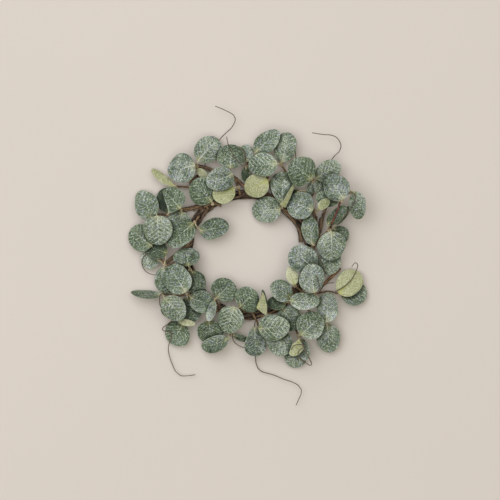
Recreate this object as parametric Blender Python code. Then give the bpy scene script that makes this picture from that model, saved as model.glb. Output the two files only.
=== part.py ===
"""An artificial frosted eucalyptus wreath lying on a table, seen along -Z in the photo.

Four woody strands twist round one closed ring. Looser twigs cross them, leafy sprays rest on
them, and thin stiff wires curl out. Every piece is laid in turn on what already lies there.
"""
import math

import bmesh
import bpy
import numpy as np
from mathutils import Vector

MM = 0.001

# The ring of woody strands
RING_CENTRE = (-2.0, 2.0)
RING_RADIUS = 61.0
RING_TURNS = 5
RING_STRANDS = 4
RING_POINTS = 40
STRAND_RADIUS = 1.6
STRAND_ORBIT = 2.95
REST_SINK = 0.3

# Blades, stems and wires
BLADE_THICK = 0.8
BLADE_ROWS = 5
STEM_RADIUS = 1.1
PETIOLE_RADIUS = 0.75
JOINT_OFFSET = 0.12
WIRE_RADIUS = 0.6

# Laying
GAP = 0.4
BLADE_GAP = 0.9
LOWEST = 3.0
TABLE_X = (-135, 135)
TABLE_Y = (-165, 165)
PITCHES = (-0.55, -0.45, -0.35, -0.25, -0.15, -0.05, 0.05, 0.15, 0.25, 0.35, 0.45)
ROLLS = (-0.4, -0.25, -0.1, 0.0, 0.1, 0.25, 0.4)

# The plan is measured from the wreath's middle in the photo; this moves it onto the box's middle.
PLAN_SHIFT = (2.3, -0.3)

# Looser twigs: radius, height at the far end, points from the ring outwards
TWIGS = {
    "twig_top_left": (1.9, 6, [(10, 61), (2, 64), (-8, 72), (-17, 79.5), (-27, 83), (-37, 86),
                               (-46, 89), (-56, 91)]),
    "twig_left_upper": (1.8, 5, [(-30, 55), (-44, 52), (-53, 49.5), (-65, 46), (-76, 43.5)]),
    "twig_left_lower": (1.5, 4, [(-58, 16), (-66, 8), (-74, 2.5), (-79, -2), (-84, -7)]),
    "twig_corner": (1.3, 7, [(-40, 52), (-52, 62), (-60, 73), (-53, 80), (-47, 84)]),
    "twig_chord": (1.6, 6, [(52, 14), (50, 24), (45, 34), (34, 46), (28, 55), (23, 64), (18, 77),
                            (17, 84)]),
    "twig_right_outer": (1.6, 8, [(60, 2), (66, 14), (70.5, 26), (72, 35), (74, 42), (76, 49)]),
    "twig_right_inner": (1.5, 8, [(58, 14), (64, 24), (66, 34), (64.5, 42), (60, 49)]),
    "twig_stub": (1.5, 9, [(56, -34), (66, -34), (73, -29.5), (82, -21), (91, -12.3)]),
}

# Stems of each spray: the layer it is laid in, then its points
STEMS = {
    "spray_corner": [(-1, [(-36, 59), (-44, 66), (-49, 76), (-52.5, 85), (-54, 91)])],
    "spray_left_upper": [(-1, [(-60, 47.5), (-68.5, 47), (-80, 42), (-95, 42)])],
    "spray_left_pale": [(-1, [(-42, 47), (-51, 60), (-61, 68.5), (-75, 70)])],
    "spray_left": [(-1, [(-60, 2), (-68, -2), (-78, -7), (-85, -10)]),
                   (-1, [(-85, -10), (-91, 0), (-98, 9)])],
    "spray_ring_left": [(-1, [(-51, 40), (-56, 33), (-59, 26)])],
    "spray_ring_low_left": [(-1, [(-61, -5), (-60.5, -13), (-58, -21)])],
    "spray_left_lower": [(-1, [(-51, -32), (-62, -38), (-75, -40), (-88, -38)])],
    "spray_low_corner": [(-1, [(-43, -43), (-52, -56), (-60, -64), (-69, -68)])],
    "spray_ring_low": [(-1, [(-43, -36), (-36, -43), (-30, -49)])],
    "spray_bottom_pair": [(-1, [(-20, -55), (-13, -53), (-5, -56)])],
    "spray_bottom_left": [(-1, [(-32, -54), (-38, -59), (-42, -65)])],
    "spray_bottom": [(-1, [(-13, -60), (-17, -70), (-20, -79.5)])],
    "spray_bottom_drop": [(-1, [(3, -58), (7, -66), (9.5, -74)])],
    "spray_bottom_right": [(-1, [(11, -60.5), (17, -59), (25, -55), (33, -49.5), (39, -45)])],
    "spray_foot": [(-1, [(34.5, -50), (41, -64), (46, -74), (49, -81)])],
    "spray_right_low": [(-1, [(43, -38), (56, -52), (66, -61), (75, -67)])],
    "spray_right_mid": [(-1, [(45.5, -30), (50, -34), (57, -38), (66, -38), (78, -35.5), (90, -38)])],
    "spray_ring_right": [(-1, [(65, -15), (61.5, -9), (60.5, 1), (62, 9), (64, 13)])],
    "spray_right": [(-1, [(62, 21), (70, 19), (76, 23), (80, 27.5)]),
                    (3.5, [(80, 27.5), (84, 38), (88, 48), (91, 56), (96, 60), (100, 64)])],
    "spray_right_upper": [(-1, [(50, 39), (56, 44), (62, 47), (67, 45.5)])],
    "spray_top_right": [(-1, [(44, 44), (54, 53), (62, 60), (64.5, 68), (63, 77)])],
    "spray_ring_upper": [(-1, [(25, 55), (31.5, 48), (38, 45)])],
    "spray_top_mid": [(-1, [(28.5, 57), (36, 70), (37, 82), (31, 92)])],
    "spray_top": [(-1, [(4, 61), (1, 74), (-4, 90), (4, 101)])],
    "spray_top_left": [(-1, [(-10, 61), (-12, 69), (-15, 77), (-21, 86)])],
    "spray_top_pale": [(-1, [(12, 60), (15, 69), (19.5, 77)])],
    "spray_ring_corner": [(-1, [(-29, 50), (-37, 52.5), (-46, 49)])],
}

# Leaves: layer, joint on the stem, base, tip, (width, egg (+ broad at the base), skew, bow), roll
LEAVES = {
    "spray_corner": [
        (2.5, (-54, 90), (-55, 91), (-82.5, 84), (29, 0.12, -0.12, 0), 0),
        (2, (-53, 90), (-52.1, 95.6), (-32.5, 118), (25.5, 0, 0.08, 0), 0),
        (1, (-52.5, 86), (-53, 87), (-42, 78), (8, 0, 0, 0), 0.4)],
    "spray_left_upper": [
        (1, (-82, 42), (-81.5, 43.5), (-85.5, 68.5), (21, 0, 0, 0), 0),
        (3, (-69, 47), (-69.5, 47.5), (-86.5, 66), (26, 0.2, 0.1, 0), 0.15),
        (2, (-69, 46), (-68.2, 44.6), (-74, 18.5), (25.2, 0.1, 0, 0), 0),
        (2, (-95, 42), (-98.5, 37), (-110.8, 65.5), (23.5, 0.12, 0, -0.8), 0),
        (5, (-94, 42), (-92.5, 40), (-91, 11), (29, 0.15, 0, 0), 0)],
    "spray_left_pale": [
        (2, (-75, 70), (-76.5, 70.3), (-98.7, 87.3), (8.5, -0.1, 0, 1.0), 0.4)],
    "spray_left": [
        (2, (-98, 9), (-98.5, 10), (-120, 27), (27, 0.05, 0.1, 0), 0),
        (0.5, (-85, -10), (-91, -3.5), (-110, -4), (19, 0, 0, 0), 0),
        (1, (-86, -8), (-83, 3), (-103, 10), (19, 0, 0, 0), 0),
        (1, (-84.5, -10), (-87, -11), (-81, -37.5), (24, 0, 0, 0), 0)],
    "spray_ring_left": [
        (4, (-56, 33), (-57, 32.5), (-82, 11), (25, 0.1, 0, 0), 0),
        (2, (-55, 33), (-50.5, 24.8), (-21, 30.6), (21.2, 0.1, -0.1, 0), 0)],
    "spray_ring_low_left": [
        (2, (-60.5, -12), (-61.5, -10), (-64.5, 8), (27, 0, -0.1, 0), 0),
        (1, (-60, -14), (-58, -15), (-51, -38), (21, 0, 0, 0), 0)],
    "spray_left_lower": [
        (4, (-62, -38), (-64, -36), (-80.5, -9.5), (28, 0.05, 0, 0), 0),
        (2, (-63, -38), (-63, -41), (-56, -66), (23, 0, 0, 0), 0),
        (3, (-61, -38), (-60, -42), (-36.5, -49.5), (22.5, 0, 0, 0), 0),
        (1, (-88, -38), (-89.5, -39), (-119.5, -36.3), (8.5, 0.1, 0, 0.9), 1.5),
        (3, (-88, -38), (-85.5, -41.5), (-67, -63), (24, 0.05, 0, 0.8), 0),
        (0, (-77, -39.5), (-77, -45), (-85, -61), (17, 0, 0, 0), 0)],
    "spray_low_corner": [
        (1, (-69, -68), (-67, -68), (-79, -88.5), (27.5, 0.05, -0.1, 0), 0),
        (2, (-68, -68), (-72, -65), (-55, -68.5), (7, 0, 0, 0), 0.3)],
    "spray_ring_low": [
        (2, (-35.5, -43), (-33.5, -42.5), (-18, -25), (27, 0.05, 0.1, 0), 0),
        (4, (-34.5, -43.5), (-35.5, -44.5), (-41.5, -65), (9, 0, 0, 0), 0.9)],
    "spray_bottom_pair": [
        (3, (-12, -53), (-10.5, -51), (6, -35), (27.5, 0.1, -0.08, 0), 0),
        (4, (-14, -53), (-15.8, -50.6), (-23.3, -77.2), (26, 0.15, -0.08, 0), 0)],
    "spray_bottom_left": [
        (2, (-42, -65), (-41, -64.8), (-38.5, -88), (27, 0.1, 0, 0), 0)],
    "spray_bottom": [
        (3, (-20, -79.5), (-21.5, -82), (-48.5, -92), (17, -0.1, 0, 1.2), 0.4),
        (0.5, (-19, -77), (-17, -79.5), (-1, -85), (7, 0, 0, 0), 0.3)],
    "spray_bottom_drop": [
        (2, (9, -73), (4.2, -71), (6.2, -100.2), (20.5, -0.42, 0, 0), 0),
        (4, (9.5, -73.5), (8.5, -72.2), (39.5, -69.5), (25.5, 0.1, 0.06, 0), 0),
        (3, (9.5, -74), (20.5, -75), (38.3, -97.3), (25.5, 0, 0.08, 0), 0)],
    "spray_bottom_right": [
        (3, (16, -59.3), (15.8, -59), (12.2, -36), (11, 0, 0.3, 1.6), 0.4),
        (2.5, (17.5, -59), (17, -57), (12.5, -33.5), (5, 0, 0, 0), 0.6),
        (4, (39, -45), (39.8, -44.2), (69.2, -44.9), (18, 0.05, 0, -0.8), 0),
        (3, (38.5, -45), (41.5, -41.5), (21, -28), (21, 0, 0.1, 0), 0),
        (2, (38, -46), (36, -46.5), (17, -47.5), (14, 0, 0, 0), 0.4),
        (1, (31, -51), (32, -52), (47, -73), (24, 0, 0, 0), 0)],
    "spray_foot": [
        (3, (48, -79), (50.4, -78.5), (71, -59.5), (28.5, 0.05, 0, 0), 0),
        (3, (49, -81), (49, -83), (43, -100), (15, -0.15, 0, 0), 0.2),
        (1, (49, -80.5), (51, -93), (40, -111), (22, 0, 0, 0), 0),
        (2, (49, -80), (51.5, -83), (56, -104.5), (12, 0, 0, 0), 0.4)],
    "spray_right_low": [
        (2, (74, -66.5), (76.5, -66), (78.5, -36.5), (22, 0.1, 0, 0), 0),
        (1, (75, -67), (78, -68.3), (80, -97), (23.5, 0, 0.08, 0), 0)],
    "spray_right_mid": [
        (5, (66, -38), (63.5, -36.4), (60.2, -7.7), (25.8, 0.05, 0.15, 0), 0),
        (3, (90, -38), (88.8, -37), (110.4, -16.8), (25.5, 0, 0, 0), 0),
        (1, (90, -38), (91.5, -40), (117.5, -35), (25, 0, 0.08, 0), 0),
        (3, (45.5, -30), (44.8, -28.5), (39, -10.5), (12, 0.05, 0, 0), 0.2)],
    "spray_ring_right": [
        (4, (64, -13.5), (64, -12), (41, 7), (28, 0.05, -0.08, 0), 0),
        (2, (63.5, 12), (62, 11.5), (58.5, 40), (17, 0, 0, 0), 0.2)],
    "spray_right": [
        (3, (80, 27.5), (81, 24.5), (82, -4.5), (28, 0.1, 0.08, 0), 0),
        (1, (79, 26), (82, 9), (77.5, -18.8), (23.5, 0, 0, 0), 0),
        (1, (80, 27), (84, 28), (97, 14.5), (18, 0, 0, 0), 0),
        (3, (79.5, 27.5), (77, 31.5), (96, 49.5), (13, 0, 0, 0), 0.3),
        (2, (80, 27), (86.2, 31.5), (100, 50), (8, 0, 0, 0), 0.7),
        (5, (91, 56), (93, 56.5), (78, 80.5), (26, 0.12, -0.06, 0), 0),
        (3.6, (90.5, 55), (88.5, 55), (65.5, 59), (16, 0, 0, 0), 0),
        (3.6, (100, 64), (103.6, 64.3), (109.5, 36.7), (17, 0, 0.12, 0.6), 0.1)],
    "spray_right_upper": [
        (3, (62, 47), (63, 46.5), (37.5, 54.5), (28, 0.05, 0, 0), 0),
        (4, (67, 45.5), (68.3, 46.9), (78.6, 56.8), (9.5, 0.1, 0.1, 0), 0)],
    "spray_top_right": [
        (5, (63, 77), (61.5, 76.5), (40.2, 93.8), (30, 0.15, 0.08, 0), 0),
        (3, (63.5, 77), (66, 78), (90, 92.5), (20.5, 0, 0, 0), 0),
        (2, (64, 74), (66, 76), (76, 62.5), (14, 0, 0, 0), 0),
        (1, (63.5, 75), (63, 74), (59, 61.5), (9, 0, 0, 0), 0),
        (1, (64, 65), (48, 66.5), (43, 51), (13, 0, 0, 0), 0)],
    "spray_ring_upper": [
        (2, (31, 48.5), (30.5, 46.5), (2, 46), (26, 0.05, 0, 0), 0),
        (4, (32.5, 48), (32.5, 49.5), (44.5, 73), (6, -0.1, 0, 0), 0.8),
        (3, (31.5, 48.5), (32, 52), (32.5, 84.5), (22.5, -0.3, 0, 0), 0)],
    "spray_top_mid": [
        (4, (31, 92), (27, 92.5), (-1.5, 90), (24, 0.05, 0.08, 0), 0),
        (2, (31.5, 91.5), (31.7, 94), (39, 123.5), (22.5, -0.05, 0, 0), 0)],
    "spray_top": [
        (3, (4, 101), (5.3, 104), (28.8, 125), (20, 0.1, 0, 0), 0),
        (2, (3.5, 100.5), (-3.5, 94.3), (-4.5, 112), (15.5, 0, 0, 0), 0),
        (1, (-4, 90), (-4, 89), (-5, 75), (9, 0, 0, 0), 0.4)],
    "spray_top_left": [
        (3, (-21, 86), (-20, 87.7), (-18, 112), (28, 0.05, 0, 0), 0),
        (4, (-20.5, 85.5), (-17, 81.8), (-43, 71), (23.5, 0.1, 0.1, 0), 0),
        (3, (-12, 68.5), (-16, 68.3), (-36.5, 58), (22.5, 0.1, -0.08, 0), 0)],
    "spray_top_pale": [
        (3, (19, 76), (17.5, 76), (-4.5, 64.5), (24, 0.1, 0, 0), 0)],
    "spray_ring_corner": [
        (2, (-37.5, 52.5), (-38, 54.5), (-57, 75), (28, 0.05, 0, 0), 0)],
}

# Stiff wires: layer, height at the far end, points from the root out
WIRES = {
    "wire_top_left": (0.8, 12, [(-50.8, 80), (-48.5, 86), (-45, 92), (-41, 98), (-35.5, 109),
        (-30, 117.6), (-24, 123.8), (-18.9, 128.3), (-15.8, 133.4), (-14.8, 137.5), (-16.8, 141.6),
        (-20.9, 144.2), (-29.1, 148), (-34.9, 150.3)]),
    "wire_top": (5, 20, [(-3, 89.5), (-8.2, 91.1), (-13.8, 96.2), (-16.8, 100.8), (-19.4, 105.9),
        (-21.9, 112), (-23.5, 119.4)]),
    "wire_top_short": (5, 18, [(-3.6, 91), (-5.2, 96), (-5.5, 102.5), (-7.7, 106.9), (-11.2, 109.5)]),
    "wire_top_right": (0.8, 14, [(64.6, 66), (68.5, 75), (72.5, 85), (77, 91.5), (82, 97), (85, 100.5),
        (89.5, 105), (91.3, 110), (90, 115), (86, 119.5), (81, 121.3), (74, 121.8), (68, 122.5),
        (62.3, 123.5)]),
    "wire_reddish": (0.8, 12, [(64, 71), (55, 82), (47.5, 92), (45.8, 100), (45.6, 107)]),
    "wire_right_upper": (5, 12, [(99, 63.5), (103.5, 62), (104.8, 58), (103.5, 53), (100, 47.5), (96, 42),
        (91, 36)]),
    "wire_right_loop": (5, 16, [(84, -36.5), (92, -32), (97, -28.5), (101.5, -24), (105.5, -17),
        (108, -9.8), (107, -7.2), (105, -7), (102, -10.5)]),
    "wire_right_twig": (0.8, 8, [(70, -36), (72.8, -31.5), (77.9, -27.5), (84.3, -26.9)]),
    "wire_ring_right": (3.5, 6, [(61, 9), (63.9, 5.7), (69.6, -2), (72.6, -8), (74.3, -14), (75.2, -21)]),
    "wire_frosty": (6, 20, [(65.8, -19.2), (68, -26), (69.6, -32.6), (67.5, -35.5), (64.5, -37.5)]),
    "wire_foot": (5, 10, [(50, -80), (53.5, -90.7), (56, -96), (59, -102), (61.5, -107.5), (60, -109),
        (56.5, -107), (52.2, -104), (48.8, -101), (47.8, -97), (49.4, -93.5), (52.3, -91.9)]),
    "wire_foot_short": (5.5, 14, [(54.5, -90), (51, -88.2), (46.2, -88.2), (42.5, -90.5), (41, -93.5)]),
    "wire_bottom": (0.3, 8, [(5.8, -63.5), (4.6, -69), (5, -80), (5.4, -100.9), (6, -107.3),
        (8.6, -113.6), (12.4, -116.5), (24.5, -120), (33.5, -123.8), (42.4, -126.7), (47.5, -129.3),
        (51.6, -134.7), (51.3, -138.5), (46.2, -150)]),
    "wire_left_lower": (1.5, 5, [(-87.5, -37), (-90, -39.5), (-90.2, -48.5), (-86.7, -55), (-77.8, -63.2),
        (-87.4, -72), (-88, -74), (-85.5, -75.5), (-80, -75.5), (-79, -81), (-82, -91.3), (-81.3, -99.6),
        (-78.4, -108.5), (-74.6, -116.2), (-69.5, -120.3), (-63.1, -120.5), (-54.8, -119.4)]),
    "wire_left": (0.8, 8, [(-97, 8), (-101.8, 3.8), (-107.1, -1.3), (-108.7, -7), (-106.5, -13.4),
        (-102, -17.3), (-95, -19.3)]),
    "wire_bottom_left": (0.6, 4, [(-17.4, -71), (-18, -75), (-17.4, -82), (-15.8, -86.4), (-10.6, -90.6),
        (-4.2, -92.5), (0, -92.7)]),
}

COLOURS = {
    "bark": (0.09, 0.055, 0.035),
    "leaf": (0.17, 0.25, 0.17),
    "wire": (0.25, 0.20, 0.16),
}

columns, rows = np.meshgrid(np.arange(*TABLE_X, dtype=float), np.arange(*TABLE_Y, dtype=float))
height = np.full(columns.shape, LOWEST)


def window(x, y, reach):
    """The slice of the table's height map round a point."""
    left, low = int(x - reach - TABLE_X[0]), int(y - reach - TABLE_Y[0])
    wide = int(2 * reach + 2)
    return np.s_[max(low, 0):low + wide + 1, max(left, 0):left + wide + 1]


def resampled(points, step):
    """The polyline through the points with a point at least every step."""
    out = [Vector(points[0])]
    for a, b in zip(points, points[1:]):
        a, b = Vector(a), Vector(b)
        parts = max(1, math.ceil((b - a).length / step))
        out += [a.lerp(b, k / parts) for k in range(1, parts + 1)]
    return out


def smoothed(points, step):
    """A Catmull-Rom curve through the points, sampled about every step."""
    flat = [Vector(p) for p in points]
    ends = [2 * flat[0] - flat[1], *flat, 2 * flat[-1] - flat[-2]]
    out = [flat[0]]
    for a, b, c, d in zip(ends, ends[1:], ends[2:], ends[3:]):
        parts = max(1, round((c - b).length / step))
        for k in range(1, parts + 1):
            t = k / parts
            out.append(0.5 * (2 * b + (c - a) * t + (2 * a - 5 * b + 4 * c - d) * t * t
                              + (3 * b - a - 3 * c + d) * t ** 3))
    return out


def raise_tube(points, radius):
    """Adds a tube to the height map."""
    for p in resampled(points, 0.5):
        part = window(p.x, p.y, radius + 1)
        square = (columns[part] - p.x) ** 2 + (rows[part] - p.y) ** 2
        top = p.z + np.sqrt(np.maximum(radius ** 2 - square, 0))
        top[square > (radius + 0.4) ** 2] = 0
        height[part] = np.maximum(height[part], top)


def lowest_centre(p, radius):
    """How low the middle of a tube can lie at this point."""
    part = window(p.x, p.y, radius + 1)
    square = (columns[part] - p.x) ** 2 + (rows[part] - p.y) ** 2
    reach = (radius + GAP) ** 2
    over = height[part] + np.sqrt(np.maximum(reach - square, 0))
    return float(over[square <= (radius + GAP + 0.2) ** 2].max())


def laid_tube(points, radius, end_height, step=4.0, slope=0.7, start=None):
    """Points of a tube that rests on what lies there, with its slope kept under a limit."""
    coarse = smoothed([Vector((x, y, 0)) for x, y in points], step)
    fine, owner = [], []
    for k, (a, b) in enumerate(zip(coarse, coarse[1:])):
        for t in (0, 0.25, 0.5, 0.75):
            fine.append(a.lerp(b, t))
            owner.append(k + t)
    fine.append(coarse[-1])
    owner.append(len(coarse) - 1)
    floor = [max(lowest_centre(p, radius), end_height * (o / owner[-1])) for p, o in zip(fine, owner)]
    out = []
    for k, p in enumerate(coarse):
        z = max(f - slope * max(0, (Vector((q.x, q.y)) - Vector((p.x, p.y))).length - 1.2 * step)
                for f, q in zip(floor, fine))
        near = max(f for f, o in zip(floor, owner) if abs(o - k) <= (0.75 if k else 0.3))
        out.append(Vector((p.x, p.y, max(z, near))))
    if start is not None:
        out[0].z = start
    raise_tube(out, radius)
    return out


def blade_shape(u, v, length, number):
    """Height of the blade's top over its own plane: a fold along the midrib and a drooping tip."""
    fold = 0.05 + 0.10 * math.sin(2.4 * number)
    droop = 0.10 + 0.06 * math.sin(1.7 * number + 1)
    return fold * np.abs(v) - droop * length * (u / length) ** 2


def half_width(s, side, form):
    """Half the blade's width at the share s of its length, on the left (1) or right (-1) side."""
    width, egg, skew, _ = form
    t = np.clip(2 * s - 1, -1, 1)
    return 0.5 * width * np.sqrt(1 - t * t) * (1 - (egg + side * skew) * t)


def laid_leaf(base, tip, form, roll, hang, number):
    """Lays one blade: the slopes along and across that keep it lowest, hung no lower than its stem."""
    base, tip = Vector(base), Vector(tip)
    length = (tip - base).length
    along = (tip - base) / length
    across = Vector((-along.y, along.x))
    middle = (base + tip) / 2
    part = window(middle.x, middle.y, max(length, form[0]) / 2 + 3)
    dx, dy = columns[part] - base.x, rows[part] - base.y
    u, v = dx * along.x + dy * along.y, dx * across.x + dy * across.y
    share = np.clip(u / length, 0.04, 0.96)
    aside = v - form[3] * np.sin(math.pi * share)
    inside = np.abs(aside) <= half_width(share, np.sign(aside), form) + 1.0
    inside &= (u > -1) & (u < length + 1)
    u, v, under = u[inside], v[inside], height[part][inside]
    shape = blade_shape(u, v, length, number)
    wish, lean = -0.05 + 0.33 * math.sin(3.1 * number), 0.28 * math.sin(1.9 * number + 2)
    best = None
    for pitch in PITCHES:
        for turn in ROLLS:
            cross = roll + turn
            thick = BLADE_THICK * math.sqrt(1 + pitch ** 2 + cross ** 2)
            slant = pitch * u + cross * v + shape
            at_base = max(float((under + BLADE_GAP + thick - slant).max()), hang + thick)
            cost = at_base + pitch * length / 2 + 22 * abs(pitch - wish) + 18 * abs(turn - lean)
            if best is None or cost < best[0]:
                best = (cost, at_base, pitch, cross, thick)
    _, at_base, pitch, cross, thick = best
    top = at_base + pitch * u + cross * v + shape
    laid = height[part]
    laid[inside] = np.maximum(laid[inside], top)
    return {"base": base, "along": along, "across": across, "length": length, "form": form,
            "z": at_base, "pitch": pitch, "cross": cross, "thick": thick, "number": number}


def on_blade(leaf, u, v, down=0.0):
    """A point of the blade's top, or that far below it."""
    flat = leaf["base"] + u * leaf["along"] + v * leaf["across"]
    rise = leaf["z"] + leaf["pitch"] * u + leaf["cross"] * v
    rise += float(blade_shape(u, v, leaf["length"], leaf["number"]))
    return Vector((flat.x, flat.y, rise - down))


def petiole_points(leaf, joint):
    """From the stem up to the blade, then along inside it."""
    half = leaf["thick"] / 2
    root = on_blade(leaf, 0, 0, half)
    early = joint.lerp(root, 0.6)
    early.z = joint.z + 0.8 * (root.z - joint.z)
    return [joint, early, on_blade(leaf, 2.2, 0, half)]


def nearest_on(paths, joint):
    """The point of a spray's stems nearest to a joint."""
    points = [p for path in paths for p in resampled(path, 0.5)]
    return min(points, key=lambda p: (p.x - joint[0]) ** 2 + (p.y - joint[1]) ** 2).copy()


def fresh_collection(name, hidden=False):
    made = bpy.data.collections.new(name)
    made.hide_render = hidden
    bpy.context.scene.collection.children.link(made)
    return made


def material(name):
    made = bpy.data.materials.new(name)
    made.use_nodes = True
    shader = made.node_tree.nodes["Principled BSDF"]
    shader.inputs["Base Color"].default_value = (*COLOURS[name.split("_")[0]], 1)
    shader.inputs["Roughness"].default_value = 0.7
    return made


def to_place(p):
    return Vector((p.x + PLAN_SHIFT[0], p.y + PLAN_SHIFT[1], p.z)) * MM


def tube(name, points, radius, sides, collection, tips=(1, 1), closed=False):
    """A round bar along the points, as a mesh object."""
    data = bpy.data.curves.new(name, "CURVE")
    data.dimensions = "3D"
    data.bevel_depth = radius * MM
    data.bevel_resolution = sides // 2 - 2
    data.use_fill_caps = not closed
    line = data.splines.new("POLY")
    line.points.add(len(points) - 1)
    line.use_cyclic_u = closed
    for k, p in enumerate(points):
        line.points[k].co = (*to_place(p), 1)
        share = k / (len(points) - 1)
        line.points[k].radius = tips[0] + (tips[1] - tips[0]) * share
    guide = bpy.data.objects.new(name, data)
    collection.objects.link(guide)
    graph = bpy.context.evaluated_depsgraph_get()
    mesh = bpy.data.meshes.new_from_object(guide.evaluated_get(graph))
    bpy.data.objects.remove(guide)
    work = bmesh.new()
    work.from_mesh(mesh)
    bmesh.ops.remove_doubles(work, verts=work.verts, dist=0.00001)
    bmesh.ops.recalc_face_normals(work, faces=work.faces)
    work.to_mesh(mesh)
    work.free()
    made = bpy.data.objects.new(name, mesh)
    collection.objects.link(made)
    return made


def blade(name, leaf, collection):
    """One leaf blade with a fold along its midrib, alike on both faces."""
    work = bmesh.new()
    bmesh.ops.create_grid(work, x_segments=BLADE_ROWS, y_segments=2, size=1)
    bmesh.ops.triangulate(work, faces=work.faces)
    for vertex in work.verts:
        turn = (vertex.co.x + 1) / 2 * math.pi
        share = (1 - math.cos(turn)) / 2
        half = max(float(half_width(share, np.sign(vertex.co.y), leaf["form"])), 1.0)
        aside = vertex.co.y * half + leaf["form"][3] * math.sin(math.pi * share)
        vertex.co = to_place(on_blade(leaf, share * leaf["length"], aside))
    lower = bmesh.ops.extrude_face_region(work, geom=work.faces[:])["geom"]
    down = Vector((0, 0, -leaf["thick"] * MM))
    bmesh.ops.translate(work, vec=down, verts=[g for g in lower if isinstance(g, bmesh.types.BMVert)])
    bmesh.ops.recalc_face_normals(work, faces=work.faces)
    mesh = bpy.data.meshes.new(name)
    work.to_mesh(mesh)
    work.free()
    made = bpy.data.objects.new(name, mesh)
    collection.objects.link(made)
    return made


def fused(name, bodies, home, workshop, look):
    """One solid from overlapping bodies, under the node's own name."""
    first, rest = bodies[0], bodies[1:]
    if rest:
        group = bpy.data.collections.new(name + "_pieces")
        for body in rest:
            group.objects.link(body)
        union = first.modifiers.new("union", "BOOLEAN")
        union.operation = "UNION"
        union.operand_type = "COLLECTION"
        union.collection = group
        union.solver = "EXACT"
        graph = bpy.context.evaluated_depsgraph_get()
        mesh = bpy.data.meshes.new_from_object(first.evaluated_get(graph))
        first.modifiers.clear()
        first.data = mesh
        for body in rest:
            bpy.data.objects.remove(body)
        bpy.data.collections.remove(group)
    for holder in list(first.users_collection):
        holder.objects.unlink(first)
    home.objects.link(first)
    first.name = name
    first.data.name = name
    first.data.materials.clear()
    first.data.materials.append(look)
    return first


def ring_strand(number):
    """One closed strand winding round the ring's centre line."""
    points = []
    for k in range(RING_POINTS):
        turn = 2 * math.pi * k / RING_POINTS
        wind = RING_TURNS * turn + 2 * math.pi * number / RING_STRANDS
        away = RING_RADIUS + 0.8 * math.sin(3 * turn + 0.6) + STRAND_ORBIT * math.cos(wind)
        z = STRAND_RADIUS + STRAND_ORBIT - REST_SINK + STRAND_ORBIT * math.sin(wind)
        points.append(Vector((RING_CENTRE[0] + away * math.cos(turn),
                              RING_CENTRE[1] + away * math.sin(turn), z)))
    return points


def flatten_foot(body):
    """Cuts the strand level with the table, so that it stands on true flats."""
    work = bmesh.new()
    work.from_mesh(body.data)
    everything = [*work.verts, *work.edges, *work.faces]
    cut = bmesh.ops.bisect_plane(work, geom=everything, plane_co=(0, 0, 0), plane_no=(0, 0, 1),
                                 clear_inner=True)["geom_cut"]
    bmesh.ops.holes_fill(work, edges=[g for g in cut if isinstance(g, bmesh.types.BMEdge)], sides=0)
    bmesh.ops.recalc_face_normals(work, faces=work.faces)
    work.to_mesh(body.data)
    work.free()


def clear_scene():
    for thing in list(bpy.data.objects):
        bpy.data.objects.remove(thing)


def build():
    clear_scene()
    home = fresh_collection("eucalyptus_wreath")
    workshop = fresh_collection("workshop", hidden=True)
    bodies, joints = {}, {}
    for number in range(RING_STRANDS):
        name = f"ring_strand_{number + 1}"
        points = ring_strand(number)
        raise_tube([*points, points[0]], STRAND_RADIUS)
        bodies[name] = [tube(name, points, STRAND_RADIUS, 6, workshop, closed=True)]
        flatten_foot(bodies[name][0])
    for name, (radius, end_height, points) in TWIGS.items():
        laid = laid_tube(points, radius, end_height, step=5)
        bodies[name] = [tube(name, laid, radius, 6, workshop)]
    jobs = []
    for name, stems in STEMS.items():
        jobs += [(layer, 0, name, points) for layer, points in stems]
    jobs += [(row[0], 1, name, row) for name, leaves in LEAVES.items() for row in leaves]
    jobs += [(row[0], 2, name, row) for name, row in WIRES.items()]
    number = 0
    for layer, kind, name, row in sorted(jobs, key=lambda job: (job[0], job[1])):
        if kind == 0:
            first = nearest_on(joints[name], row[0]).z if name in joints else None
            laid = laid_tube(row, STEM_RADIUS, 6, step=5, start=first)
            joints.setdefault(name, []).append(laid)
            stalk = tube(name + "_stem", laid, STEM_RADIUS, 4, workshop, (1, 0.8))
            bodies.setdefault(name, []).append(stalk)
        elif kind == 1:
            number += 1
            _, joint, base, tip, form, roll = row
            stem = nearest_on(joints[name], joint)
            stem += Vector((math.sin(number), math.cos(number), math.sin(2.3 * number))) * JOINT_OFFSET
            leaf = laid_leaf(base, tip, form, roll, stem.z, number)
            route = petiole_points(leaf, stem)
            raise_tube(route, PETIOLE_RADIUS)
            bodies[name] += [blade(f"{name}_leaf", leaf, workshop),
                             tube(f"{name}_petiole", route, PETIOLE_RADIUS, 4, workshop, (1, 0.45))]
        else:
            laid = laid_tube(row[2], WIRE_RADIUS, row[1], step=4.5 if len(row[2]) > 9 else 2.5)
            bodies[name] = [tube(name, laid, WIRE_RADIUS, 4, workshop)]
    for name, pieces in bodies.items():
        kind = "wire" if name.startswith("wire") else "leaf"
        if name.startswith(("ring", "twig")):
            kind = "bark"
        fused(name, pieces, home, workshop, material(f"{kind}_{name}"))
    bpy.data.collections.remove(workshop)
    print("top", round(float(height.max()), 1), "leaves", number, "nodes", len(bodies))


build()
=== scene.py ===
from math import atan2, ceil, cos, exp, pi, sin, sqrt
from types import SimpleNamespace

import bmesh
import bpy
import numpy as np
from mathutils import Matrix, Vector, noise


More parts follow.
